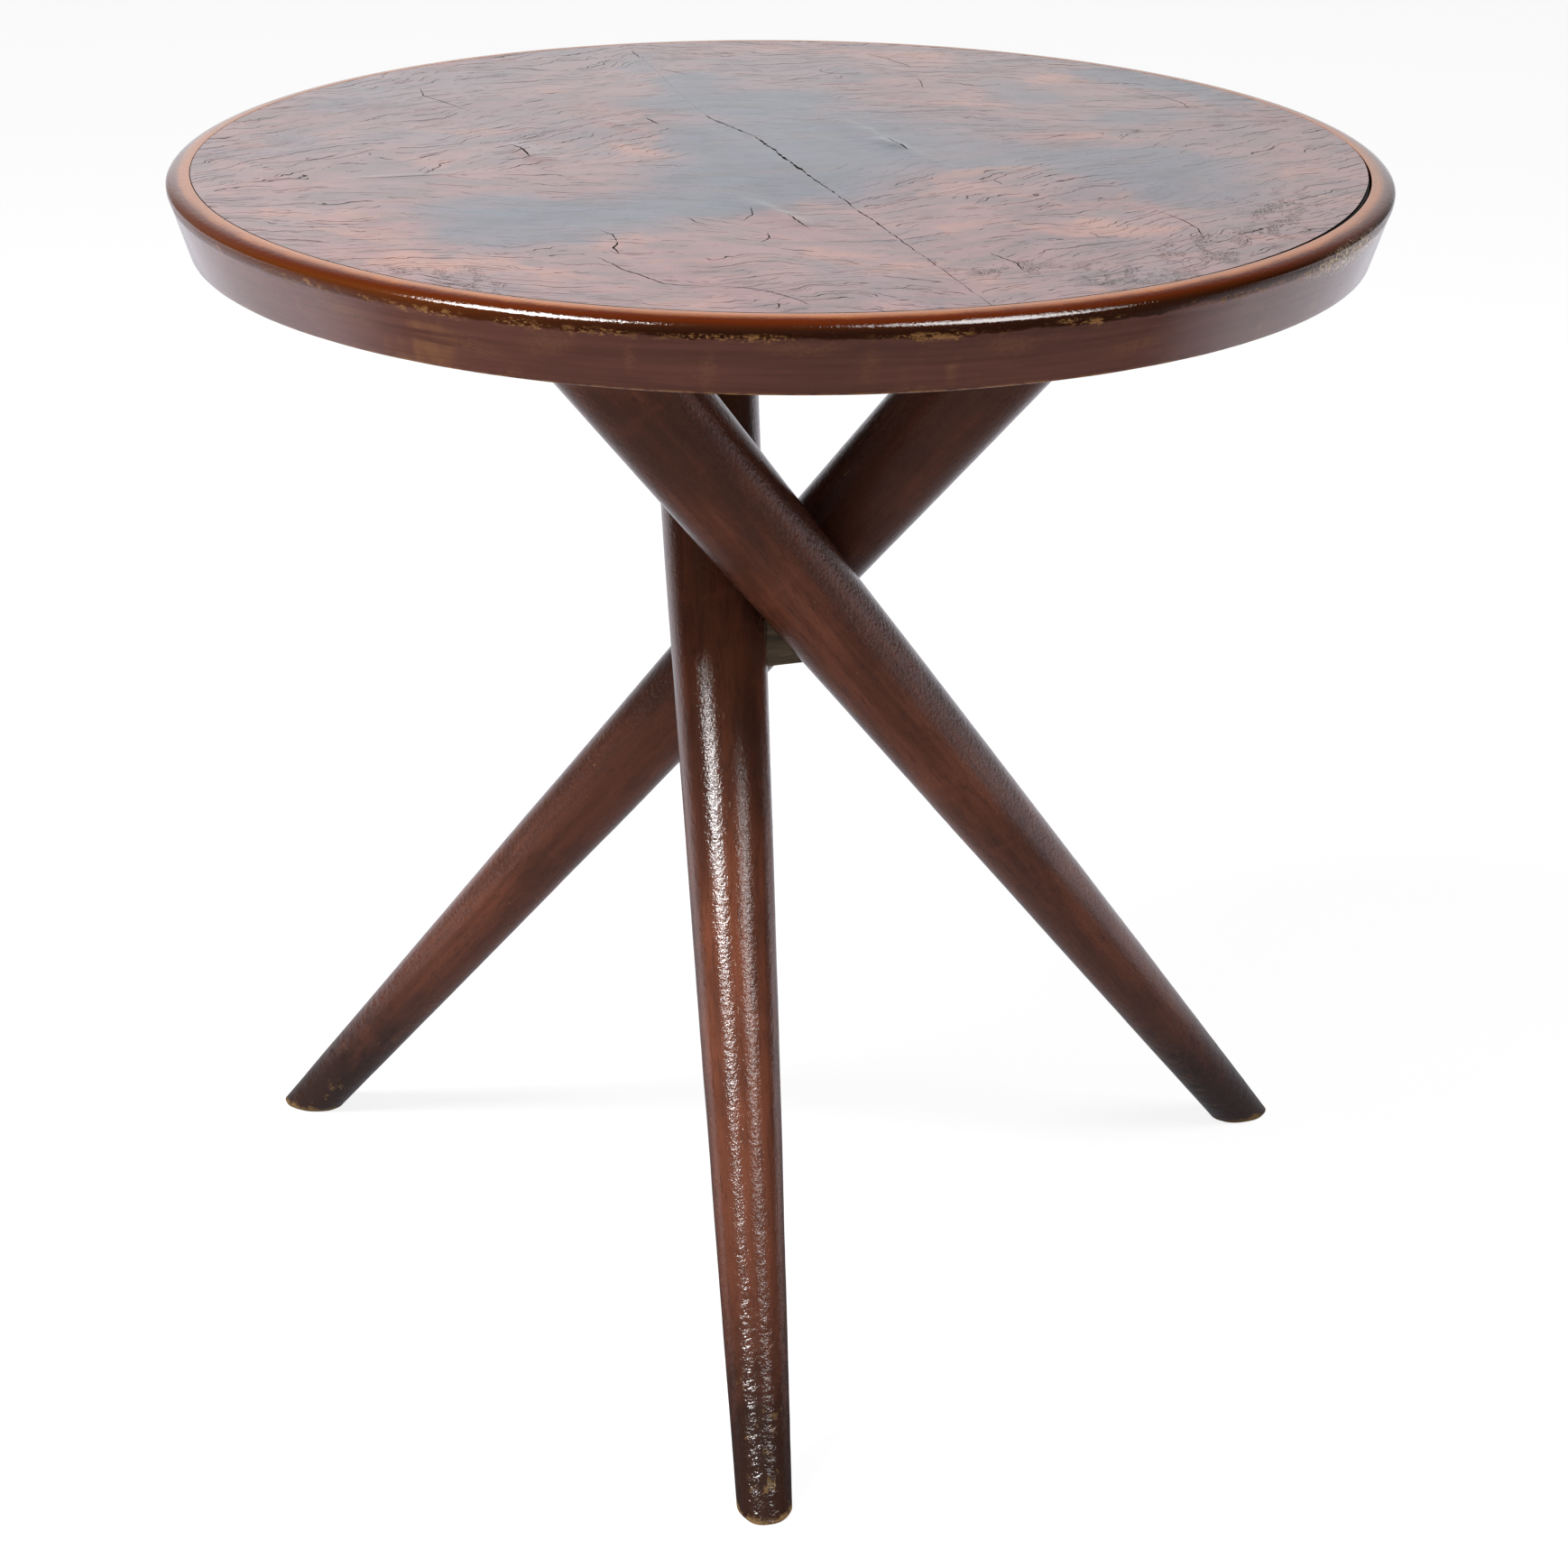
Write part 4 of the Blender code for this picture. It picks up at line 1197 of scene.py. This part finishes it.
def leg_points(legs, matrix, length, seed):
    """A turned, gently uneven leg, sawn level at the floor and at its shoulder."""

    def body(travel):
        return leg_radius(legs, travel / length)

    def tenon(_):
        return legs.tenon_radius

    foot = level_ring(matrix, 0, body)
    shoulder = level_ring(matrix, SHOULDER_HEIGHT, body)
    eased = level_ring(matrix, FOOT_EASE, body)
    middle = sum(foot, Vector()) / LEG_SIDES
    rows = []
    first = []
    for low in foot:
        wear = FOOT_WEAR * (1 + 0.8 * ripple(low, 90, seed))
        first.append(middle + (low - middle) * (1 - wear / legs.foot_radius))
    rows.append(first)
    for i in range(LEG_ROWS + 1):
        share = i / LEG_ROWS
        row = []
        for low, high in zip(eased, shoulder):
            travel = low.z + (high.z - low.z) * share
            out = Vector((low.x, low.y, 0)).normalized()
            radius = body(travel)
            place = out * radius + Vector((0, 0, travel))
            ends = ease(share, 0, 0.03) * (1 - ease(share, 0.97, 1))
            uneven = sum(reach * ripple((place.x, place.y, travel * squeeze), frequency,
                                        seed + extra)
                         for reach, squeeze, frequency, extra in LEG_RIPPLES)
            row.append(place + out * uneven * ends)
        rows.append(row)
    rows.append(level_ring(matrix, SHOULDER_HEIGHT, tenon))
    rows.append(level_ring(matrix, BEARER_TOP, tenon))
    return wrap_rows(rows)


def leg_finish(legs, name, matrix, middle_shade):
    """Dark glossy stain over flecked beech, worn at the foot, with painted shade on the upper
    part of the legs, under the top.
    """
    material, placed = start_material(f"stained_beech_{name}")
    level = split(placed)[2]
    local = framed(placed, matrix)
    bent = shifted(local, noise(local, (18, 18, 5), 2, 0.5, colour=True),
                   (0.012, 0.012, 0.02))
    grain = noise(bent, (170, 170, 7), 5, 0.6)
    cloud = noise(bent, (34, 34, 9), 3, 0.55)
    roll = noise(bent, (26, 26, 70), 2, 0.5)
    fleck = noise(local, (520, 520, 75), 2, 0.6)
    blackened = shaken(level, noise(local, (90, 90, 60), 4, 0.65), 0.10)
    stain = legs.stain_colour
    dark = legs.dark_and_shade_colour
    colour = mix(span(grain, 0.32, 0.68), shade(stain, 0.62), stain)
    for share, tint in (
            (span(cloud, 0.40, 0.66, 0, 0.75), dark),
            (span(fleck, 0.56, 0.66, 0, 0.45), dark),
            (span(roll, 0.55, 0.75, 0, 0.12), shade(stain, 1.7)),
            # Painted shade: darker high up on the legs, under the table top
            (span(level, 0.33, 0.46, 0, 0.32), dark),
            # Darker towards the bottom
            (span(level, 0.24, 0.05, 0, 0.55), dark),
            # Painted shade from the middle upwards, on the legs that have a middle shade
            (times(span(level, 0.13, 0.23), middle_shade), dark),
            (span(blackened, 0.090, 0.025, 0, 0.78), LEG_BLACK)):
        colour = mix(share, colour, tint)

    nicks = span(noise(local, (210, 210, 60), 3, 0.7), 0.705, 0.74)
    scuff = noise(local, 120, 4, 0.7)
    rubbed = times(span(scuff, 0.60, 0.68, 0, 0.55), span(level, 0.080, 0.015))
    worn = strongest((span(shaken(level, scuff, -0.012), 0.0042, 0.0012),
                      times(nicks, 0.8), rubbed))
    colour = mix(times(worn, 0.8), colour, legs.worn_colour)
    roughness = span(noise(local, (60, 60, 14), 3, 0.6), 0.30, 0.72, 0.20, 0.36)
    roughness = larger(roughness, times(worn, 0.75))
    crinkle = noise(local, (480, 480, 400), 3, 0.66)
    wrinkle = times(noise(local, (140, 140, 210), 3, 0.65), span(level, 0.15, 0.03))
    relief = times(grain, 0.22)
    for value, factor in ((crinkle, 1.6), (wrinkle, 4.2), (worn, -0.4)):
        relief = plus(relief, value, factor)
    return end_material(material, colour, roughness, bump(relief, 0.0004, 0.5),
                        coat=less(0.9, worn), coat_roughness=0.13, coat_ior=1.68,
                        specular=0.08)


def shape_legs(legs):
    """Three legs with tenons, kerfs for the wedges and holes for the dowels."""
    for index, name in enumerate(LEG_NAMES):
        matrix, length = leg_frame(legs, index)
        points, faces = leg_points(legs, matrix, length, 5 * index + 2)
        piece = add_piece(f"turned_leg_{name}", [matrix @ point for point in points], faces,
                          leg_finish(legs, name, matrix, MIDDLE_PAINTED_SHADES[index]),
                          [f"leg_{name}"])
        beside = LEG_NAMES[(index + 1) % len(LEG_NAMES)]
        carve(piece, [grown_solid(node, GLUE_LINE) for node in (
            f"crossing_dowel_{name}", f"crossing_dowel_{beside}", f"tenon_wedge_{name}")])


# Plain wood, boards and steel

# Light and dark colour, scale of the grain on each axis, turn about +Z in degrees, how much
# broader the bands are, roughness, and depth of the relief
WOODS = {
    "unpolished_block": ((0.225, 0.155, 0.092), (0.078, 0.054, 0.034), (30, 30, 420), 0,
                         0.22, 0.78, 0.0010),
    "core_board": ((0.330, 0.200, 0.100), (0.190, 0.105, 0.048), (210, 9, 300), 20,
                   0.12, 0.72, 0.0008),
    "bearer_board": ((0.190, 0.110, 0.055), (0.085, 0.045, 0.022), (170, 8, 220), 65,
                     0.10, 0.68, 0.0008),
    "backing_veneer": ((0.130, 0.066, 0.036), (0.062, 0.030, 0.017), (240, 7, 200), -25,
                       0.10, 0.55, 0.0005),
    "bare_beech": ((0.500, 0.340, 0.200), (0.330, 0.205, 0.110), (300, 300, 60), 0,
                   0.20, 0.62, 0.0004),
}
# Grime on the core: how far in from the veneer's edge it starts, and over what it fades in
GRIME_REACH = 0.005
GRIME_FADE = 0.002
GRIME_COLOUR = (0.004, 0.003, 0.003)


def dress_in_wood(wood, node_names, clean_radius=None):
    """Give packed solids a bare wood, with grime from a radius outwards."""
    light, dark, grain_scale, turn, broader, roughness, depth = WOODS[wood]
    material, placed = start_material(wood)
    local = turned(placed, radians(turn))
    bent = shifted(local, noise(local, 14, 2, 0.5, colour=True), (0.010, 0.010, 0.010))
    grain = noise(bent, grain_scale, 5, 0.62)
    broad = noise(bent, shade(grain_scale, broader), 3, 0.6)
    stain = noise(local, 11, 4, 0.65)
    pores = noise(bent, shade(grain_scale, 3), 2, 0.6)
    colour = mix(span(grain, 0.30, 0.68), dark, light)
    colour = mix(span(broad, 0.44, 0.70, 0, 0.55), colour, dark)
    colour = mix(span(stain, 0.50, 0.75, 0, 0.45), colour, shade(dark, 0.5))
    if clean_radius:
        reach = vector('LENGTH', scaled(placed, (1, 1, 0)))
        grimy = span(reach, clean_radius, clean_radius + GRIME_FADE)
        colour = mix(grimy, colour, GRIME_COLOUR)
    rough = span(broad, 0.3, 0.7, roughness - 0.08, roughness + 0.08)
    end_material(material, colour, rough, bump(plus(grain, pores, 0.6), depth, 0.5))
    for name in node_names:
        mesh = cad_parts[name].data
        mesh.materials.clear()
        mesh.materials.append(material)


def dress_hub():
    dress_in_wood("unpolished_block", ["hub_block"])


def dress_boards(top):
    """Core, bearer and balancing veneer, with grime where the core shows beside the veneer."""
    dress_in_wood("core_board", ["top_core"], top.radius - GRIME_REACH)
    for name in ("bearer_board", "backing_veneer"):
        dress_in_wood(name, [name])


def dress_joinery():
    """Dowels, wedges and tongues of bare beech."""
    names = [f"{kind}_{name}" for kind in ("crossing_dowel", "tenon_wedge")
             for name in LEG_NAMES]
    names += [f"rim_tongue_{index + 1}" for index in range(RIM_LENGTHS)]
    dress_in_wood("bare_beech", names)


# Screws

SCREW_COUNT = 6
SCREW_SIDES = 36
SCREW_HEAD_RADIUS = 0.0044
SCREW_SHANK_RADIUS = 0.0021
SCREW_PITCH = 0.0022
SCREW_THREAD_DEPTH = 0.00055
SCREW_SLOT = (0.0011, 0.0011)
# Direction of the first slot, and turn from one slot to the next
SCREW_SLOT_TURNS = (0.7, 1.9)
SCREW_PLAIN_SHARE = 0.36
SCREW_TIP_SHARE = 0.84
# Eased edge and cylindrical rim of the head
SCREW_HEAD_EASE = 0.0002
SCREW_HEAD_RIM = 0.0005
# Clean steel and tarnish
SCREW_COLOURS = ((0.42, 0.40, 0.37), (0.115, 0.080, 0.055))


def screw_points(low, high):
    """A slotted countersunk wood screw that points up between two heights."""
    length = high - low
    head_depth = SCREW_HEAD_RADIUS - SCREW_SHANK_RADIUS
    heights = [(0.0, SCREW_HEAD_RADIUS * 0.93, 0), (SCREW_HEAD_EASE, SCREW_HEAD_RADIUS, 0),
               (SCREW_HEAD_RIM, SCREW_HEAD_RADIUS, 0),
               (head_depth + SCREW_HEAD_RIM, SCREW_SHANK_RADIUS, 0)]
    plain_end = length * SCREW_PLAIN_SHARE
    heights.append((plain_end, SCREW_SHANK_RADIUS, 0))
    steps = ceil((length - plain_end) / (SCREW_PITCH / 8))
    for k in range(1, steps + 1):
        height = plain_end + (length - plain_end) * k / steps
        taper = 1 - 0.80 * ease(height / length, SCREW_TIP_SHARE, 1)
        heights.append((height, SCREW_SHANK_RADIUS * taper, min(1, k / 4)))
    rows = []
    for height, radius, threaded in heights:
        row = []
        for k in range(SCREW_SIDES):
            turn = k / SCREW_SIDES
            crest = abs((height / SCREW_PITCH - turn) % 1 - 0.5) * 2
            cut = SCREW_THREAD_DEPTH * threaded * crest * min(1, radius / SCREW_SHANK_RADIUS)
            reach = radius - cut
            row.append(Vector((reach * cos(2 * pi * turn), reach * sin(2 * pi * turn),
                               low + height)))
        rows.append(row)
    return wrap_rows(rows)


def screw_finish():
    """Dull steel with tarnish and scratches."""
    material, placed = start_material("dull_steel")
    tarnish = noise(placed, 260, 5, 0.7)
    scratches = noise(placed, (900, 120, 300), 3, 0.6)
    colour = mix(span(tarnish, 0.42, 0.68), *SCREW_COLOURS)
    roughness = span(tarnish, 0.35, 0.70, 0.34, 0.62)
    normal = bump(math('ADD', tarnish, scratches), 0.0001, 0.5)
    return end_material(material, colour, roughness, normal, metallic=0.85)


def drive_screws():
    """Six screws through the bearer, each with its slot turned its own way."""
    material = screw_finish()
    for index in range(SCREW_COUNT):
        node = f"bearer_screw_{index + 1}"
        low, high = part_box(node)
        middle = (low + high) / 2
        points, faces = screw_points(low.z, high.z)
        shift = Vector((middle.x, middle.y, 0))
        piece = add_piece(f"slotted_screw_{index + 1}", [point + shift for point in points],
                          faces, material, [node])
        slot_width, slot_depth = SCREW_SLOT
        turn = Matrix.Translation((middle.x, middle.y, low.z)) @ Matrix.Rotation(
            SCREW_SLOT_TURNS[0] + SCREW_SLOT_TURNS[1] * index, 4, 'Z')
        reach = SCREW_HEAD_RADIUS * 1.2
        rows = [[turn @ Vector((x, y, z)) for x, y in (
            (-reach, -slot_width / 2), (reach, -slot_width / 2), (reach, slot_width / 2),
            (-reach, slot_width / 2))] for z in (-0.001, slot_depth)]
        carve(piece, [wrap_rows(rows)])


# Stage

SENSOR_WIDTH = 36
LAMP_DISTANCE = 2.3
# Name, direction from the front, height as an angle, width, depth and share of the power
LAMPS = (
    ("softbox_left", radians(-57), radians(51), 0.80, 0.86, 1.86),
    ("softbox_right", radians(54), radians(57), 0.85, 1.25, 0.75),
)
LAMP_AIM = Vector((0, 0, 0.35))
FLOOR_HALF = 14.0
FLOOR_DROP = 0.0002
# What the floor adds to its white in the light, and its colour in a reflection
FLOOR_SHADE = (0.22, 0.22, 0.22, 1)
FLOOR_GLOSS_COLOUR = (0.95, 0.93, 1)
# Colour of the room in a reflection
GLOSS_COLOUR = (0.980, 0.988, 1.0)


def place_camera(stage):
    data = bpy.data.cameras.new("camera")
    data.lens = stage.lens
    data.sensor_width = SENSOR_WIDTH
    camera = add_object("camera", data)
    camera.matrix_world = (
        Matrix.Rotation(VIEW_TURN, 4, 'Z')
        @ Matrix.Translation((0, -stage.distance, stage.height))
        @ Matrix.Rotation(-stage.pan, 4, 'Z')
        @ Matrix.Rotation(pi / 2 - stage.pitch, 4, 'X')
        @ Matrix.Rotation(-stage.roll, 4, 'Z'))
    bpy.context.scene.camera = camera


def hang_lamps(stage):
    front = VIEW_TURN - pi / 2
    for name, around, up, width, depth, share in LAMPS:
        data = bpy.data.lights.new(name, 'AREA')
        data.shape = 'RECTANGLE'
        data.size = width
        data.size_y = depth
        data.energy = stage.lamp_power * share
        lamp = add_object(name, data)
        angle = front + around
        away = Vector((cos(up) * cos(angle), cos(up) * sin(angle), sin(up)))
        lamp.location = LAMP_AIM + away * LAMP_DISTANCE
        lamp.rotation_euler = (-away).to_track_quat('-Z', 'Y').to_euler()


def light_room(stage):
    """White for the camera, and for gloss a pale wall behind the table, dim at its sides."""
    world = bpy.data.worlds.new("room")
    bpy.context.scene.world = world
    world.use_nodes = True
    tree = world.node_tree
    tree.nodes.clear()
    rays = add_node('ShaderNodeLightPath', {}, tree).outputs
    place = add_node('ShaderNodeTexCoord', {}, tree).outputs["Generated"]

    def toward(direction):
        return vector('DOT_PRODUCT', place, direction)

    def backdrop(strength, colour=(1, 1, 1)):
        return add_node('ShaderNodeBackground', {
            "Color": (*colour, 1), "Strength": strength}, tree).outputs[0]

    right = Vector((cos(VIEW_TURN), sin(VIEW_TURN), 0))
    behind = Vector((-sin(VIEW_TURN), cos(VIEW_TURN), 0))
    wall = span(toward(behind), 0.36, 0.86, 0.035, 0.75)
    wall = times(wall, span(toward(right), -0.20, 0.20, 1.10, 0.86))
    for side in (right, -right):
        wall = times(wall, span(toward(side), 0.24, 0.52, 1.0, 0.22))
    ceiling = span(toward((0, 0, 1)), 0.42, 0.80, 1.0, 0.45)
    seen = choose(rays["Is Glossy Ray"], backdrop(stage.sky_strength),
                  backdrop(times(wall, ceiling), GLOSS_COLOUR))
    for kind in ("Is Transmission Ray", "Is Camera Ray"):
        seen = choose(rays[kind], seen, backdrop(1.0))
    add_node('ShaderNodeOutputWorld', {"Surface": seen})


def floor_finish(stage):
    """Pale floor that looks white to the camera and still takes a shadow."""
    material, placed = start_material("pale_floor")
    tree = material.node_tree
    rays = add_node('ShaderNodeLightPath', {}, tree).outputs

    def glow(colour, strength):
        return add_node('ShaderNodeEmission', {
            "Color": (*colour, 1), "Strength": strength}, tree).outputs[0]

    tone = noise(placed, 1.3, 3, 0.5)
    tint = mix(span(tone, 0.3, 0.7), stage.floor_colour, shade(stage.floor_colour, 1.02))
    end_material(material, tint, 0.9, specular=0.0)
    shaded = add_node('ShaderNodeBsdfDiffuse', {"Color": FLOOR_SHADE}, tree)
    white = add_node('ShaderNodeAddShader', {0: glow((1, 1, 1), 0.86), 1: shaded.outputs[0]})
    right, beyond = split(turned(placed, VIEW_TURN))[:2]
    sideways = math('ABSOLUTE', right)
    beside = times(span(sideways, 0.45, 0.90, 0.0, 0.92), span(sideways, 1.20, 1.80, 1.0, 0.06))
    strength = larger(span(beyond, -0.20, 0.90, 0.06, 0.72),
                      times(beside, span(beyond, -0.38, 0.12)))
    lit = choose(rays["Is Glossy Ray"], tree.nodes["Principled BSDF"].outputs[0],
                 glow(FLOOR_GLOSS_COLOUR, strength))
    seen = choose(rays["Is Camera Ray"], lit, white.outputs[0])
    feed(tree.nodes["Material Output"].inputs["Surface"], seen)
    return material


def lay_floor(stage):
    mesh = bpy.data.meshes.new("floor")
    corners = [(x * FLOOR_HALF, y * FLOOR_HALF, -FLOOR_DROP)
               for x, y in ((-1, -1), (1, -1), (1, 1), (-1, 1))]
    mesh.from_pydata(corners, [], [(0, 1, 2, 3)])
    mesh.materials.append(floor_finish(stage))
    add_object("floor", mesh)


# Operators


class SIDETABLE_OT_set_stage(Operator):
    """Set up the camera, the softboxes, the room light and the floor"""
    bl_idname = "side_table.set_stage"
    bl_label = "Set the Stage"

    def execute(self, context):
        stage = context.scene.side_table_stage
        context.scene.view_settings.view_transform = 'Standard'
        place_camera(stage)
        hang_lamps(stage)
        light_room(stage)
        lay_floor(stage)
        return {'FINISHED'}


class SIDETABLE_OT_lay_veneers(Operator):
    """Lay the four matched sheets of burl, with their open seam, blisters and cracks"""
    bl_idname = "side_table.lay_veneers"
    bl_label = "Lay the Veneers"

    def execute(self, context):
        lay_veneers(context.scene.side_table_top)
        return {'FINISHED'}


class SIDETABLE_OT_turn_rim(Operator):
    """Make the six lengths of the worn rim"""
    bl_idname = "side_table.turn_rim"
    bl_label = "Turn the Rim"

    def execute(self, context):
        turn_rim(context.scene.side_table_rim)
        return {'FINISHED'}


class SIDETABLE_OT_shape_legs(Operator):
    """Make the three stained legs with their tenons"""
    bl_idname = "side_table.shape_legs"
    bl_label = "Shape the Legs"

    def execute(self, context):
        shape_legs(context.scene.side_table_legs)
        return {'FINISHED'}


class SIDETABLE_OT_dress_hub(Operator):
    """Finish the unpolished block between the legs"""
    bl_idname = "side_table.dress_hub"
    bl_label = "Finish the Hub Block"

    def execute(self, context):
        dress_hub()
        return {'FINISHED'}


class SIDETABLE_OT_dress_boards(Operator):
    """Finish the core, the bearer board and the balancing veneer"""
    bl_idname = "side_table.dress_boards"
    bl_label = "Finish the Boards"

    def execute(self, context):
        dress_boards(context.scene.side_table_top)
        return {'FINISHED'}


class SIDETABLE_OT_dress_joinery(Operator):
    """Finish the dowels, wedges and tongues"""
    bl_idname = "side_table.dress_joinery"
    bl_label = "Finish the Joinery"

    def execute(self, context):
        dress_joinery()
        return {'FINISHED'}


class SIDETABLE_OT_drive_screws(Operator):
    """Make the slotted screws that hold the bearer board"""
    bl_idname = "side_table.drive_screws"
    bl_label = "Drive the Screws"

    def execute(self, context):
        drive_screws()
        return {'FINISHED'}


OPERATORS = (
    SIDETABLE_OT_set_stage,
    SIDETABLE_OT_lay_veneers,
    SIDETABLE_OT_turn_rim,
    SIDETABLE_OT_shape_legs,
    SIDETABLE_OT_dress_hub,
    SIDETABLE_OT_dress_boards,
    SIDETABLE_OT_dress_joinery,
    SIDETABLE_OT_drive_screws,
)
SETTINGS = {
    "side_table_top": TopSettings,
    "side_table_rim": RimSettings,
    "side_table_legs": LegSettings,
    "side_table_stage": StageSettings,
}


class SIDETABLE_PT_pieces(Panel):
    """Lists the table's sizes, colours and the steps that make it"""
    bl_label = "Side Table"
    bl_space_type = 'VIEW_3D'
    bl_region_type = 'UI'
    bl_category = "Side Table"

    def draw(self, context):
        for name, group in SETTINGS.items():
            box = self.layout.box()
            box.label(text=group.__doc__)
            settings = getattr(context.scene, name)
            for key in group.__annotations__:
                box.prop(settings, key)
        for operator in OPERATORS:
            self.layout.operator(operator.bl_idname)


def register():
    for group in SETTINGS.values():
        bpy.utils.register_class(group)
    for name, group in SETTINGS.items():
        setattr(bpy.types.Scene, name, PointerProperty(type=group))
    for operator in OPERATORS:
        bpy.utils.register_class(operator)
    bpy.utils.register_class(SIDETABLE_PT_pieces)


def unregister():
    bpy.utils.unregister_class(SIDETABLE_PT_pieces)
    for operator in reversed(OPERATORS):
        bpy.utils.unregister_class(operator)
    for name in SETTINGS:
        delattr(bpy.types.Scene, name)
    for group in SETTINGS.values():
        bpy.utils.unregister_class(group)


def main():
    register()
    bpy.ops.side_table.set_stage()
    bpy.ops.side_table.lay_veneers()
    bpy.ops.side_table.turn_rim()
    bpy.ops.side_table.shape_legs()
    bpy.ops.side_table.dress_hub()
    bpy.ops.side_table.dress_boards()
    bpy.ops.side_table.dress_joinery()
    bpy.ops.side_table.drive_screws()


if __name__ == "__main__":
    main()
